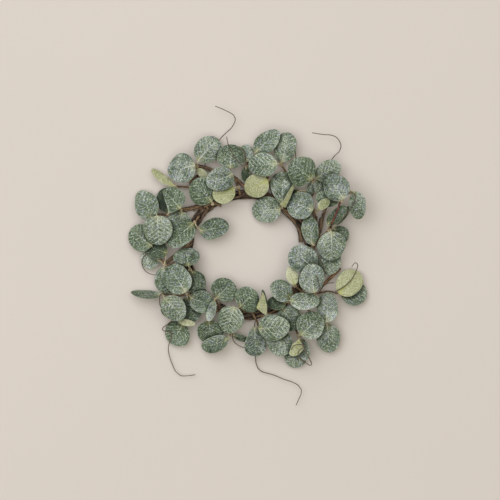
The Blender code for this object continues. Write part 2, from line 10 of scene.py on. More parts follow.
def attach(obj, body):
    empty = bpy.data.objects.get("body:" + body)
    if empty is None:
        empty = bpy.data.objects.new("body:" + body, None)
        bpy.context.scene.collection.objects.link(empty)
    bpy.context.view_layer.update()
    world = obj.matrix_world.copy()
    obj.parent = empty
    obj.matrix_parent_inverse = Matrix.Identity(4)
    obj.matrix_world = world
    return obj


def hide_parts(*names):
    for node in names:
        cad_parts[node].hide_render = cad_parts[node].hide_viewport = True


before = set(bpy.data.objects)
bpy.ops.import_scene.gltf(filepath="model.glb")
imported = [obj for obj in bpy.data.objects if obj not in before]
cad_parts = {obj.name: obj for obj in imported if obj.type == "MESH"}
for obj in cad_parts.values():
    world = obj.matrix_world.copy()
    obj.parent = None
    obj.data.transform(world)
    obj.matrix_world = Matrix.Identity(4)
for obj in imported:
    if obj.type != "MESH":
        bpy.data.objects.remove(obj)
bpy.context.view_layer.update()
scene = bpy.context.scene
mm = 0.001

# The plan in mm: every spray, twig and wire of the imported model, with the look of each leaf
# name: (radius, height at the far end, points from the ring outwards)
twigs = {
    "top_left": (1.9, 6, [(10, 61), (2, 64), (-8, 72), (-17, 79.5), (-27, 83), (-37, 86), (-46, 89),
        (-56, 91)]),
    "left_upper": (1.8, 5, [(-30, 55), (-44, 52), (-53, 49.5), (-65, 46), (-76, 43.5)]),
    "left_lower": (1.5, 4, [(-58, 16), (-66, 8), (-74, 2.5), (-79, -2), (-84, -7)]),
    "corner": (1.3, 7, [(-40, 52), (-52, 62), (-60, 73), (-53, 80), (-47, 84)]),
    "chord": (1.6, 6, [(52, 14), (50, 24), (45, 34), (34, 46), (28, 55), (23, 64), (18, 77), (17, 84)]),
    "right_outer": (1.6, 8, [(60, 2), (66, 14), (70.5, 26), (72, 35), (74, 42), (76, 49)]),
    "right_inner": (1.5, 8, [(58, 14), (64, 24), (66, 34), (64.5, 42), (60, 49)]),
    "stub": (1.5, 9, [(56, -34), (66, -34), (73, -29.5), (82, -21), (91, -12.3)]),
}

# name: stems, each as points that start at the ring or on the stem before
stems = {
    "corner": [[(-36, 59), (-44, 66), (-49, 76), (-52.5, 85), (-54, 91)]],
    "left_upper": [[(-60, 47.5), (-68.5, 47), (-80, 42), (-95, 42)]],
    "left_pale": [[(-42, 47), (-51, 60), (-61, 68.5), (-75, 70)]],
    "left": [[(-60, 2), (-68, -2), (-78, -7), (-85, -10)],
        [(-85, -10), (-91, 0), (-98, 9)]],
    "ring_left": [[(-51, 40), (-56, 33), (-59, 26)]],
    "ring_low_left": [[(-61, -5), (-60.5, -13), (-58, -21)]],
    "left_lower": [[(-51, -32), (-62, -38), (-75, -40), (-88, -38)]],
    "low_corner": [[(-43, -43), (-52, -56), (-60, -64), (-69, -68)]],
    "ring_low": [[(-43, -36), (-36, -43), (-30, -49)]],
    "bottom_pair": [[(-20, -55), (-13, -53), (-5, -56)]],
    "bottom_left": [[(-32, -54), (-38, -59), (-42, -65)]],
    "bottom": [[(-13, -60), (-17, -70), (-20, -79.5)]],
    "bottom_drop": [[(3, -58), (7, -66), (9.5, -74)]],
    "bottom_right": [[(11, -60.5), (17, -59), (25, -55), (33, -49.5), (39, -45)]],
    "foot": [[(34.5, -50), (41, -64), (46, -74), (49, -81)]],
    "right_low": [[(43, -38), (56, -52), (66, -61), (75, -67)]],
    "right_mid": [[(45.5, -30), (50, -34), (57, -38), (66, -38), (78, -35.5), (90, -38)]],
    "ring_right": [[(65, -15), (61.5, -9), (60.5, 1), (62, 9), (64, 13)]],
    "right": [[(62, 21), (70, 19), (76, 23), (80, 27.5)],
        [(80, 27.5), (84, 38), (88, 48), (91, 56), (96, 60), (100, 64)]],
    "right_upper": [[(50, 39), (56, 44), (62, 47), (67, 45.5)]],
    "top_right": [[(44, 44), (54, 53), (62, 60), (64.5, 68), (63, 77)]],
    "ring_upper": [[(25, 55), (31.5, 48), (38, 45)]],
    "top_mid": [[(28.5, 57), (36, 70), (37, 82), (31, 92)]],
    "top": [[(4, 61), (1, 74), (-4, 90), (4, 101)]],
    "top_left": [[(-10, 61), (-12, 69), (-15, 77), (-21, 86)]],
    "top_pale": [[(12, 60), (15, 69), (19.5, 77)]],
    "ring_corner": [[(-29, 50), (-37, 52.5), (-46, 49)]],
}

# name: leaves as (layer, joint, base, tip, (width, egg, skew, bow), look, roll), without zeros at an end
leaves = {
    "corner": [(2.5, (-54, 90), (-55, 91), (-82.5, 84), (29, 0.12, -0.12), "frosty"),
        (2, (-53, 90), (-52.1, 95.6), (-32.5, 118), (25.5, 0, 0.08), "light"),
        (1, (-52.5, 86), (-53, 87), (-42, 78), (8,), "paleBright", 0.4)],
    # the first leaf here, dark and lying under the second, stands in for the shade under it: a painted
    # shade
    "left_upper": [(1, (-82, 42), (-81.5, 43.5), (-85.5, 68.5), (21,), "dark"),
        (3, (-69, 47), (-69.5, 47.5), (-86.5, 66), (26, 0.2, 0.1), "deep", 0.15),
        (2, (-69, 46), (-68.2, 44.6), (-74, 18.5), (25.2, 0.1), "light"),
        (2, (-95, 42), (-98.5, 37), (-110.8, 65.5), (23.5, 0.12, 0, -0.8), "green"),
        (5, (-94, 42), (-92.5, 40), (-91, 11), (29, 0.15), "fair")],
    "left_pale": [(2, (-75, 70), (-76.5, 70.3), (-98.7, 87.3), (8.5, -0.1, 0, 1), "pale", 0.4)],
    "left": [(2, (-98, 9), (-98.5, 10), (-120, 27), (27, 0.05, 0.1), "olive"),
        (0.5, (-85, -10), (-91, -3.5), (-110, -4), (19,), "fair"),
        (1, (-86, -8), (-83, 3), (-103, 10), (19,), "deepest"),
        (1, (-84.5, -10), (-87, -11), (-81, -37.5), (24,), "light")],
    "ring_left": [(4, (-56, 33), (-57, 32.5), (-82, 11), (25, 0.1), "deep"),
        (2, (-55, 33), (-50.5, 24.8), (-21, 30.6), (21.2, 0.1, -0.1), "slate")],
    "ring_low_left": [(2, (-60.5, -12), (-61.5, -10), (-64.5, 8), (27, 0, -0.1), "slate"),
        (1, (-60, -14), (-58, -15), (-51, -38), (21,), "slate")],
    "left_lower": [(4, (-62, -38), (-64, -36), (-80.5, -9.5), (28, 0.05), "green"),
        (2, (-63, -38), (-63, -41), (-56, -66), (23,), "slate"),
        (3, (-61, -38), (-60, -42), (-36.5, -49.5), (22.5,), "slate"),
        (1, (-88, -38), (-89.5, -39), (-119.5, -36.3), (8.5, 0.1, 0, 0.9), "under", 1.5),
        (3, (-88, -38), (-85.5, -41.5), (-67, -63), (24, 0.05, 0, 0.8), "light"),
        (0, (-77, -39.5), (-77, -45), (-85, -61), (17,), "green")],
    "low_corner": [(1, (-69, -68), (-67, -68), (-79, -88.5), (27.5, 0.05, -0.1), "deep"),
        (2, (-68, -68), (-72, -65), (-55, -68.5), (7,), "paleBright", 0.3)],
    "ring_low": [(2, (-35.5, -43), (-33.5, -42.5), (-18, -25), (27, 0.05, 0.1), "deep"),
        (4, (-34.5, -43.5), (-35.5, -44.5), (-41.5, -65), (9,), "frosty", 0.9)],
    "bottom_pair": [(3, (-12, -53), (-10.5, -51), (6, -35), (27.5, 0.1, -0.08), "deep"),
        (4, (-14, -53), (-15.8, -50.6), (-23.3, -77.2), (26, 0.15, -0.08), "ribbed")],
    "bottom_left": [(2, (-42, -65), (-41, -64.8), (-38.5, -88), (27, 0.1), "deep")],
    "bottom": [(3, (-20, -79.5), (-21.5, -82), (-48.5, -92), (17, -0.1, 0, 1.2), "slate", 0.4),
        (0.5, (-19, -77), (-17, -79.5), (-1, -85), (7,), "dark", 0.3)],
    "bottom_drop": [(2, (9, -73), (4.2, -71), (6.2, -100.2), (20.5, -0.42), "steel"),
        (4, (9.5, -73.5), (8.5, -72.2), (39.5, -69.5), (25.5, 0.1, 0.06), "veined"),
        (3, (9.5, -74), (20.5, -75), (38.3, -97.3), (25.5, 0, 0.08), "light")],
    "bottom_right": [(3, (16, -59.3), (15.8, -59), (12.2, -36), (11, 0, 0.3, 1.6), "pale", 0.4),
        (2.5, (17.5, -59), (17, -57), (12.5, -33.5), (5,), "under", 0.6),
        (4, (39, -45), (39.8, -44.2), (69.2, -44.9), (18, 0.05, 0, -0.8), "light"),
        (3, (38.5, -45), (41.5, -41.5), (21, -28), (21, 0, 0.1), "grey"),
        (2, (38, -46), (36, -46.5), (17, -47.5), (14,), "deepest", 0.4),
        (1, (31, -51), (32, -52), (47, -73), (24,), "green")],
    "foot": [(3, (48, -79), (50.4, -78.5), (71, -59.5), (28.5, 0.05), "green"),
        (3, (49, -81), (49, -83), (43, -100), (15, -0.15), "pale", 0.2),
        (1, (49, -80.5), (51, -93), (40, -111), (22,), "light"),
        (2, (49, -80), (51.5, -83), (56, -104.5), (12,), "bright", 0.4)],
    "right_low": [(2, (74, -66.5), (76.5, -66), (78.5, -36.5), (22, 0.1), "bright"),
        (1, (75, -67), (78, -68.3), (80, -97), (23.5, 0, 0.08), "light")],
    "right_mid": [(5, (66, -38), (63.5, -36.4), (60.2, -7.7), (25.8, 0.05, 0.15), "silver"),
        (3, (90, -38), (88.8, -37), (110.4, -16.8), (25.5,), "pale"),
        (1, (90, -38), (91.5, -40), (117.5, -35), (25, 0, 0.08), "grey"),
        (3, (45.5, -30), (44.8, -28.5), (39, -10.5), (12, 0.05), "paleBright", 0.2)],
    "ring_right": [(4, (64, -13.5), (64, -12), (41, 7), (28, 0.05, -0.08), "steel"),
        (2, (63.5, 12), (62, 11.5), (58.5, 40), (17,), "grey", 0.2)],
    "right": [(3, (80, 27.5), (81, 24.5), (82, -4.5), (28, 0.1, 0.08), "light"),
        (1, (79, 26), (82, 9), (77.5, -18.8), (23.5,), "light"),
        (1, (80, 27), (84, 28), (97, 14.5), (18,), "green"),
        (3, (79.5, 27.5), (77, 31.5), (96, 49.5), (13,), "dark", 0.3),
        (2, (80, 27), (86.2, 31.5), (100, 50), (8,), "light", 0.7),
        (5, (91, 56), (93, 56.5), (78, 80.5), (26, 0.12, -0.06), "bluish"),
        (3.6, (90.5, 55), (88.5, 55), (65.5, 59), (16,), "deep"),
        (3.6, (100, 64), (103.6, 64.3), (109.5, 36.7), (17, 0, 0.12, 0.6), "grey", 0.1)],
    "right_upper": [(3, (62, 47), (63, 46.5), (37.5, 54.5), (28, 0.05), "steel"),
        (4, (67, 45.5), (68.3, 46.9), (78.6, 56.8), (9.5, 0.1, 0.1), "paleDim")],
    "top_right": [(5, (63, 77), (61.5, 76.5), (40.2, 93.8), (30, 0.15, 0.08), "shade"),
        (3, (63.5, 77), (66, 78), (90, 92.5), (20.5,), "fair"),
        (2, (64, 74), (66, 76), (76, 62.5), (14,), "light"),
        (1, (63.5, 75), (63, 74), (59, 61.5), (9,), "bright"),
        (1, (64, 65), (48, 66.5), (43, 51), (13,), "dark")],
    "ring_upper": [(2, (31, 48.5), (30.5, 46.5), (2, 46), (26, 0.05), "light"),
        (4, (32.5, 48), (32.5, 49.5), (44.5, 73), (6, -0.1), "pale", 0.8),
        (3, (31.5, 48.5), (32, 52), (32.5, 84.5), (22.5, -0.3), "hoar")],
    "top_mid": [(4, (31, 92), (27, 92.5), (-1.5, 90), (24, 0.05, 0.08), "veined"),
        (2, (31.5, 91.5), (31.7, 94), (39, 123.5), (22.5, -0.05), "light")],
    "top": [(3, (4, 101), (5.3, 104), (28.8, 125), (20, 0.1), "grey"),
        (2, (3.5, 100.5), (-3.5, 94.3), (-4.5, 112), (15.5,), "bright"),
        (1, (-4, 90), (-4, 89), (-5, 75), (9,), "deepest", 0.4)],
    "top_left": [(3, (-21, 86), (-20, 87.7), (-18, 112), (28, 0.05), "deep"),
        (4, (-20.5, 85.5), (-17, 81.8), (-43, 71), (23.5, 0.1, 0.1), "bluish"),
        (3, (-12, 68.5), (-16, 68.3), (-36.5, 58), (22.5, 0.1, -0.08), "paleSoft")],
    "top_pale": [(3, (19, 76), (17.5, 76), (-4.5, 64.5), (24, 0.1), "pale")],
    "ring_corner": [(2, (-37.5, 52.5), (-38, 54.5), (-57, 75), (28, 0.05), "deep")],
}

# name: (layer, end height, points)
wires = {
    "top_left": (0.8, 12, [(-50.8, 80), (-48.5, 86), (-45, 92), (-41, 98), (-35.5, 109), (-30, 117.6),
        (-24, 123.8), (-18.9, 128.3), (-15.8, 133.4), (-14.8, 137.5), (-16.8, 141.6), (-20.9, 144.2),
        (-29.1, 148), (-34.9, 150.3)]),
    "top": (5, 20, [(-3, 89.5), (-8.2, 91.1), (-13.8, 96.2), (-16.8, 100.8), (-19.4, 105.9), (-21.9, 112),
        (-23.5, 119.4)]),
    "top_short": (5, 18, [(-3.6, 91), (-5.2, 96), (-5.5, 102.5), (-7.7, 106.9), (-11.2, 109.5)]),
    "top_right": (0.8, 14, [(64.6, 66), (68.5, 75), (72.5, 85), (77, 91.5), (82, 97), (85, 100.5),
        (89.5, 105), (91.3, 110), (90, 115), (86, 119.5), (81, 121.3), (74, 121.8), (68, 122.5),
        (62.3, 123.5)]),
    "reddish": (0.8, 12, [(64, 71), (55, 82), (47.5, 92), (45.8, 100), (45.6, 107)]),
    "right_upper": (5, 12, [(99, 63.5), (103.5, 62), (104.8, 58), (103.5, 53), (100, 47.5), (96, 42),
        (91, 36)]),
    "right_loop": (5, 16, [(84, -36.5), (92, -32), (97, -28.5), (101.5, -24), (105.5, -17), (108, -9.8),
        (107, -7.2), (105, -7), (102, -10.5)]),
    "right_twig": (0.8, 8, [(70, -36), (72.8, -31.5), (77.9, -27.5), (84.3, -26.9)]),
    "ring_right": (3.5, 6, [(61, 9), (63.9, 5.7), (69.6, -2), (72.6, -8), (74.3, -14), (75.2, -21)]),
    "frosty": (6, 20, [(65.8, -19.2), (68, -26), (69.6, -32.6), (67.5, -35.5), (64.5, -37.5)]),
    "foot": (5, 10, [(50, -80), (53.5, -90.7), (56, -96), (59, -102), (61.5, -107.5), (60, -109),
        (56.5, -107), (52.2, -104), (48.8, -101), (47.8, -97), (49.4, -93.5), (52.3, -91.9)]),
    "foot_short": (5.5, 14, [(54.5, -90), (51, -88.2), (46.2, -88.2), (42.5, -90.5), (41, -93.5)]),
    "bottom": (0.3, 8, [(5.8, -63.5), (4.6, -69), (5, -80), (5.4, -100.9), (6, -107.3), (8.6, -113.6),
        (12.4, -116.5), (24.5, -120), (33.5, -123.8), (42.4, -126.7), (47.5, -129.3), (51.6, -134.7),
        (51.3, -138.5), (46.2, -150)]),
    "left_lower": (1.5, 5, [(-87.5, -37), (-90, -39.5), (-90.2, -48.5), (-86.7, -55), (-77.8, -63.2),
        (-87.4, -72), (-88, -74), (-85.5, -75.5), (-80, -75.5), (-79, -81), (-82, -91.3), (-81.3, -99.6),
        (-78.4, -108.5), (-74.6, -116.2), (-69.5, -120.3), (-63.1, -120.5), (-54.8, -119.4)]),
    "left": (0.8, 8, [(-97, 8), (-101.8, 3.8), (-107.1, -1.3), (-108.7, -7), (-106.5, -13.4),
        (-102, -17.3), (-95, -19.3)]),
    "bottom_left": (0.6, 4, [(-17.4, -71), (-18, -75), (-17.4, -82), (-15.8, -86.4), (-10.6, -90.6),
        (-4.2, -92.5), (0, -92.7)]),
}

# How the pieces lie on each other, in mm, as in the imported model
lay = {
    "planShift": (2.3, -0.3), "ringCentre": (-2, 2), "ringRadius": 61, "ringSway": 0.8, "ringTurns": 5,
    "ringStrands": 4, "strandRadius": 1.6, "strandOrbit": 2.95, "strandPoints": (40, 320), "sink": 0.3,
    "stemRadius": 1.1, "stemEnd": 6, "stemLayer": -1, "upperStems": {("right", 1): 3.5}, "step": 5,
    "petioleRadius": 0.75, "petioleEnd": 2.2, "petioleBend": (0.6, 0.8), "jointOffset": 0.12,
    "wireRadius": 0.6, "wireStep": 2.5, "longWire": 9, "longWireStep": 4.5, "gap": 0.4, "slope": 0.7,
    "lowest": 3.0, "tableX": (-135, 135), "tableY": (-165, 165), "bladeThick": 0.8, "bladeGap": 0.9,
    "pitches": [k / 20 for k in range(-11, 11, 2)], "turns": (-0.4, -0.25, -0.1, 0, 0.1, 0.25, 0.4),
    "pitchCost": 22, "turnCost": 18,
    # what differs from leaf to leaf, as (middle, depth, pace, start)
    "fold": (0.05, 0.1, 2.4, 0), "droop": (0.1, 0.06, 1.7, 1), "wishedPitch": (-0.05, 0.33, 3.1, 0),
    "wishedTurn": (0, 0.28, 1.9, 2),
}
columns, rows = np.meshgrid(*(np.arange(*lay[side], dtype=float) for side in ("tableX", "tableY")))
height = np.full(columns.shape, lay["lowest"])


def window(x, y, reach):
    # the part of the height grid round a spot
    left, low = int(x - reach - lay["tableX"][0]), int(y - reach - lay["tableY"][0])
    wide = int(2 * reach + 2)
    return np.s_[max(low, 0):low + wide + 1, max(left, 0):left + wide + 1]


def aroundSpot(p, radius):
    part = window(p.x, p.y, radius + 1)
    return part, (columns[part] - p.x) ** 2 + (rows[part] - p.y) ** 2


def resampled(points, step=0.5):
    out = [points[0].copy()]
    for a, b in zip(points, points[1:]):
        parts = max(1, ceil((b - a).length / step))
        out += [a.lerp(b, k / parts) for k in range(1, parts + 1)]
    return out


def smoothed(points, step=1.2):
    # Catmull-Rom through the points, a sample about every step
    ends = [2 * points[0] - points[1], *points, 2 * points[-1] - points[-2]]
    out = [points[0]]
    for a, b, c, d in zip(ends, ends[1:], ends[2:], ends[3:]):
        parts = max(1, round((c - b).length / step))
        for k in range(1, parts + 1):
            t = k / parts
            out.append(0.5 * (2 * b + (c - a) * t + (2 * a - 5 * b + 4 * c - d) * t * t
                              + (3 * b - a - 3 * c + d) * t ** 3))
    return out


def raiseTube(points, radius):
    for p in resampled(points):
        part, square = aroundSpot(p, radius)
        top = p.z + np.sqrt(np.maximum(radius ** 2 - square, 0))
        top[square > (radius + 0.4) ** 2] = 0
        height[part] = np.maximum(height[part], top)


def lowestCentre(p, radius):
    part, square = aroundSpot(p, radius)
    over = height[part] + np.sqrt(np.maximum((radius + lay["gap"]) ** 2 - square, 0))
    return float(over[square <= (radius + lay["gap"] + 0.2) ** 2].max())


def laidTube(points, radius, endHeight, step, start=None):
    # a tube resting on what lies there already, its slope kept under a limit
    coarse = smoothed([Vector((x, y, 0)) for x, y in points], step)
    owner = [k / 4 for k in range(4 * len(coarse) - 3)]
    fine = [coarse[int(o)].lerp(coarse[ceil(o)], o % 1) for o in owner]
    floors = [max(lowestCentre(p, radius), endHeight * (o / owner[-1])) for p, o in zip(fine, owner)]
    out = []
    for k, p in enumerate(coarse):
        z = max(f - lay["slope"] * max(0, (q - p).length - 1.2 * step) for f, q in zip(floors, fine))
        near = max(f for f, o in zip(floors, owner) if abs(o - k) <= (0.75 if k else 0.3))
        out.append(Vector((p.x, p.y, max(z, near))))
    if start is not None:
        out[0].z = start
    raiseTube(out, radius)
    return out


def varied(what, number):
    middle, depth, pace, start = lay[what]
    return middle + depth * sin(pace * number + start)


def bladeShape(u, v, length, number):
    # the fold along the midrib and the drooping tip
    return varied("fold", number) * np.abs(v) - varied("droop", number) * length * (u / length) ** 2


def halfWidth(s, side, form):
    width, egg, skew, _ = form
    t = np.clip(2 * s - 1, -1, 1)
    return 0.5 * width * np.sqrt(1 - t * t) * (1 - (egg + side * skew) * t)


def beyondEdge(u, v, length, form, end):
    # mm outside a leaf's outline, less than 0 on the blade
    share = np.clip(u / length, end, 1 - end)
    aside = v - form[3] * np.sin(pi * share)
    beyond = np.abs(aside) - halfWidth(share, np.sign(aside), form)
    return np.maximum(beyond, np.maximum(-u, u - length))


def laidLeaf(base, tip, form, roll, hang, number):
    # the slopes along and across that let the blade lie lowest, near the tilt it wants
    base, tip = Vector(base), Vector(tip)
    length = (tip - base).length
    along = (tip - base) / length
    across = Vector((-along.y, along.x))
    middle = (base + tip) / 2
    part = window(middle.x, middle.y, max(length, form[0]) / 2 + 3)
    dx, dy = columns[part] - base.x, rows[part] - base.y
    u, v = dx * along.x + dy * along.y, dx * across.x + dy * across.y
    inside = beyondEdge(u, v, length, form, 0.04) <= 1
    u, v, under = u[inside], v[inside], height[part][inside]
    shape = bladeShape(u, v, length, number)
    wish, lean = varied("wishedPitch", number), varied("wishedTurn", number)
    best = None
    for pitch in lay["pitches"]:
        for turn in lay["turns"]:
            cross = roll + turn
            thick = lay["bladeThick"] * sqrt(1 + pitch ** 2 + cross ** 2)
            slant = pitch * u + cross * v + shape
            atBase = max(float((under + lay["bladeGap"] + thick - slant).max()), hang + thick)
            cost = atBase + pitch * length / 2 + lay["pitchCost"] * abs(pitch - wish)
            cost += lay["turnCost"] * abs(turn - lean)
            if best is None or cost < best[0]:
                best = (cost, atBase, pitch, cross, thick)
    _, atBase, pitch, cross, thick = best
    top = atBase + pitch * u + cross * v + shape
    laid = height[part]
    laid[inside] = np.maximum(laid[inside], top)
    return SimpleNamespace(base=base, along=along, across=across, length=length, form=form, z=atBase,
                           pitch=pitch, cross=cross, thick=thick, number=number)


def onBlade(leaf, u, v, down=0):
    flat = leaf.base + u * leaf.along + v * leaf.across
    rise = leaf.z + leaf.pitch * u + leaf.cross * v
    rise += float(bladeShape(u, v, leaf.length, leaf.number))
    return Vector((flat.x, flat.y, rise - down))


def petiolePoints(leaf, joint):
    half = leaf.thick / 2
    root = onBlade(leaf, 0, 0, half)
    share, rise = lay["petioleBend"]
    early = joint.lerp(root, share)
    early.z = joint.z + rise * (root.z - joint.z)
    return [joint, early, onBlade(leaf, lay["petioleEnd"], 0, half)]


def nearestOn(paths, joint):
    points = [p for path in paths for p in resampled(path)]
    return min(points, key=lambda p: (p.x - joint[0]) ** 2 + (p.y - joint[1]) ** 2)


def woundRound(count, reach, windAt, lowest=0):
    # points that wind round the ring's own circle, at a reach from it
    points = []
    x, y = lay["ringCentre"]
    for k in range(count):
        turn = 2 * pi * k / count
        wind = windAt(turn)
        away = lay["ringRadius"] + lay["ringSway"] * sin(3 * turn + 0.6) + reach * cos(wind)
        z = lay["strandRadius"] + lay["strandOrbit"] - lay["sink"] + reach * sin(wind)
        points.append(Vector((x + away * cos(turn), y + away * sin(turn), max(z, lowest))))
    return points


def ringStrand(number, count):
    start = 2 * pi * number / lay["ringStrands"]
    return woundRound(count, lay["strandOrbit"], lambda turn: lay["ringTurns"] * turn + start)


def layEverything():
    # settles twigs, stems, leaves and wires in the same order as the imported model
    laid = {kind: {} for kind in ("strand", "twig", "stem", "leaf", "wire")}
    coarse, fine = lay["strandPoints"]
    for number in range(lay["ringStrands"]):
        points = ringStrand(number, coarse)
        raiseTube([*points, points[0]], lay["strandRadius"])
        laid["strand"][str(number + 1)] = ringStrand(number, fine)
    for name, (radius, endHeight, points) in twigs.items():
        laid["twig"][name] = laidTube(points, radius, endHeight, lay["step"])
    jobs = [(lay["upperStems"].get((name, k), lay["stemLayer"]), 0, name, points)
            for name, paths in stems.items() for k, points in enumerate(paths)]
    jobs += [(row[0], 1, name, row) for name, group in leaves.items() for row in group]
    jobs += [(row[0], 2, name, row) for name, row in wires.items()]
    number = 0
    for _, kind, name, row in sorted(jobs, key=lambda job: job[:2]):
        if kind == 0:
            paths = laid["stem"].setdefault(name, [])
            first = nearestOn(paths, row[0]).z if paths else None
            paths.append(laidTube(row, lay["stemRadius"], lay["stemEnd"], lay["step"], first))
        elif kind == 1:
            number += 1
            _, joint, base, tip, form, look, *roll = row
            stem = nearestOn(laid["stem"][name], joint)
            aside = Vector((sin(number), cos(number), sin(2.3 * number)))
            stem += aside * lay["jointOffset"]
            leaf = laidLeaf(base, tip, (*form, 0, 0, 0)[:4], sum(roll), stem.z, number)
            leaf.look, leaf.joint, leaf.key = look, stem, (name, leaves[name].index(row))
            leaf.route = petiolePoints(leaf, stem)
            raiseTube(leaf.route, lay["petioleRadius"])
            laid["leaf"].setdefault(name, []).append(leaf)
        else:
            step = lay["longWireStep" if len(row[2]) > lay["longWire"] else "wireStep"]
            laid["wire"][name] = laidTube(row[2], lay["wireRadius"], row[1], step)
    return laid


def toPlace(p):
    return Vector((p.x + lay["planShift"][0], p.y + lay["planShift"][1], p.z)) * mm


laid = layEverything()
print("laid", sum(len(group) for group in laid["leaf"].values()), "leaves")


# Materials

def rgb(code):
    values = [int(code[k:k + 2], 16) / 255 for k in (1, 3, 5)]
    return (*[v / 12.92 if v <= 0.04045 else ((v + 0.055) / 1.055) ** 2.4 for v in values], 1)


def put(tree, kind, sockets=None, **settings):
    # a node, its sockets fed with links, colour codes or plain values
    made = tree.nodes.new(kind)
    for name, value in settings.items():
        setattr(made, name, value)
    for name, value in (sockets or {}).items():
        if isinstance(value, bpy.types.NodeSocket):
            tree.links.new(value, made.inputs[name])
        else:
            made.inputs[name].default_value = rgb(value) if isinstance(value, str) else value
    return made


def sums(operation, *values):
    tree = next(value.id_data for value in values if isinstance(value, bpy.types.NodeSocket))
    return put(tree, "ShaderNodeMath", dict(enumerate(values)), operation=operation).outputs[0]


def times(first, second):
    return sums("MULTIPLY", first, second)


def plus(start, value, share=1):
    return sums("MULTIPLY_ADD", value, share, start)


def ramp(value, low, high, toLow=0, toHigh=1):
    sockets = {"Value": value, "From Min": low, "From Max": high, "To Min": toLow, "To Max": toHigh}
    return put(value.id_data, "ShaderNodeMapRange", sockets, interpolation_type="SMOOTHSTEP").outputs[0]


def blend(share, first, second):
    return put(share.id_data, "ShaderNodeMix", {0: share, 6: first, 7: second}, data_type="RGBA").outputs[2]


def mottle(place, scale, detail, roughness=0.5):
    sockets = {"Vector": place, "Scale": scale, "Detail": detail, "Roughness": roughness}
    return put(place.id_data, "ShaderNodeTexNoise", sockets).outputs["Fac"]


def attribute(tree, name, output="Fac"):
    return put(tree, "ShaderNodeAttribute", attribute_name=name).outputs[output]


def split(value, kind):
    return put(value.id_data, "ShaderNodeSeparate" + kind, {0: value}).outputs


def objectPlace(tree):
    return put(tree, "ShaderNodeTexCoord").outputs["Object"]


def newGroup(name, inputs):
    group = bpy.data.node_groups.new(name, "ShaderNodeTree")
    for label, value in inputs.items():
        made = group.interface.new_socket(label, in_out="INPUT", socket_type="NodeSocketFloat")
        made.default_value = value
    return group, group.nodes.new("NodeGroupInput").outputs


def giveOut(group, results):
    for label in results:
        group.interface.new_socket(label, in_out="OUTPUT", socket_type="NodeSocketFloat")
    put(group, "NodeGroupOutput", results)
    return group


# edges and fades: from, to, and the values there where they aren't 0 and 1
veins = {
    "pairs": 7, "sweep": 0.36, "bend": 1.25, "stagger": 0.22, "wobble": 0.05, "wobbleScale": 0.35,
    "sideEdge": (0.39, 0.5), "sideFade": (1, 0.55), "midribWidth": 0.024, "midribLength": 1.15,
    "midribEdge": (0.035, -0.01), "midribFade": (1, 0.25, 0.1, 1), "netSize": 2.3,
    "netEdge": (0.16, 0.03), "streakSize": 1.5, "streakLength": 2.6, "streakSlant": 0.72,
    "warmReach": (0.3, 0), "warmWidth": (0.42, 0.05), "rimFade": (0.9, 0.15),
}


def veinGroup():
    # masks of the midrib, side veins, fine net and rim, from the blade's own coordinates
    group, into = newGroup("leafVeins", {"Net": 1})
    place = attribute(group, "place", "Vector")
    s, t, rim = split(attribute(group, "blade", "Vector"), "XYZ")
    aside = sums("ABSOLUTE", t)
    shifted = plus(s, sums("POWER", aside, veins["bend"]), -veins["sweep"])
    shifted = plus(shifted, mottle(place, veins["wobbleScale"], 1), veins["wobble"])
    stagger = times(sums("SIGN", t), veins["stagger"])
    phase = sums("FRACT", plus(stagger, shifted, veins["pairs"]))
    peak = sums("ABSOLUTE", plus(phase, -0.5))
    side = times(ramp(peak, *veins["sideEdge"]), ramp(aside, *veins["sideFade"]))
    edge = plus(aside, plus(veins["midribLength"], s, -1), -veins["midribWidth"])
    midrib = times(ramp(edge, *veins["midribEdge"]), ramp(s, *veins["midribFade"]))
    net = put(group, "ShaderNodeTexVoronoi", {"Vector": place, "Scale": 1 / veins["netSize"]},
              feature="DISTANCE_TO_EDGE").outputs["Distance"]
    x, y, _ = split(place, "XYZ")
    slanted = plus(x, sums("ABSOLUTE", y), -veins["streakSlant"])
    flow = put(group, "ShaderNodeCombineXYZ", {
        0: sums("DIVIDE", slanted, veins["streakSize"]),
        1: sums("DIVIDE", y, veins["streakSize"] * veins["streakLength"])}).outputs[0]
    warm = times(ramp(s, *veins["warmReach"]), ramp(aside, *veins["warmWidth"]))
    return giveOut(group, {
        "Midrib": midrib, "Side": side, "Net": times(ramp(net, *veins["netEdge"]), into["Net"]),
        "Rim": ramp(rim, *veins["rimFade"]), "Streak": mottle(flow, 1, 3, 0.55), "Warm": warm})


bloom = {
    "fleckScale": 860, "patchScale": 85, "patchEdge": (0.38, 0.66), "dotScale": 900,
    "dotEdge": (0.6, 0.1), "lightDots": (0.76, 0.9), "darkDots": (0.24, 0.1, 0, 0.7),
    "tintScale": 330, "tintDepth": 3.2, "dotTint": 0.7,
}


def frostGroup():
    # speckled bloom: fine flecks, soft patches, light and dark dots, and a tint to and from blue
    group, into = newGroup("frostBloom", {"Amount": 0.5, "Fleck": bloom["fleckScale"],
                                          "Patch": bloom["patchScale"]})
    place = objectPlace(group)
    patch = ramp(mottle(place, into["Patch"], 1), *bloom["patchEdge"])
    grain = put(group, "ShaderNodeTexVoronoi", {"Vector": place, "Scale": bloom["dotScale"]}).outputs
    cell = split(grain["Color"], "Color")
    light, dark = (ramp(cell[0], *bloom[dots]) for dots in ("lightDots", "darkDots"))
    dots = times(plus(light, dark, -1), ramp(grain["Distance"], *bloom["dotEdge"]))
    hue = plus(mottle(place, bloom["tintScale"], 2, 0.6), -0.5)
    tint = plus(times(hue, bloom["tintDepth"]), plus(cell[1], -0.5), bloom["dotTint"])
    return giveOut(group, {
        "Speckle": plus(mottle(place, into["Fleck"], 2, 0.6), -0.5),
        "Patch": times(patch, into["Amount"]), "Dots": dots, "Tint": tint})


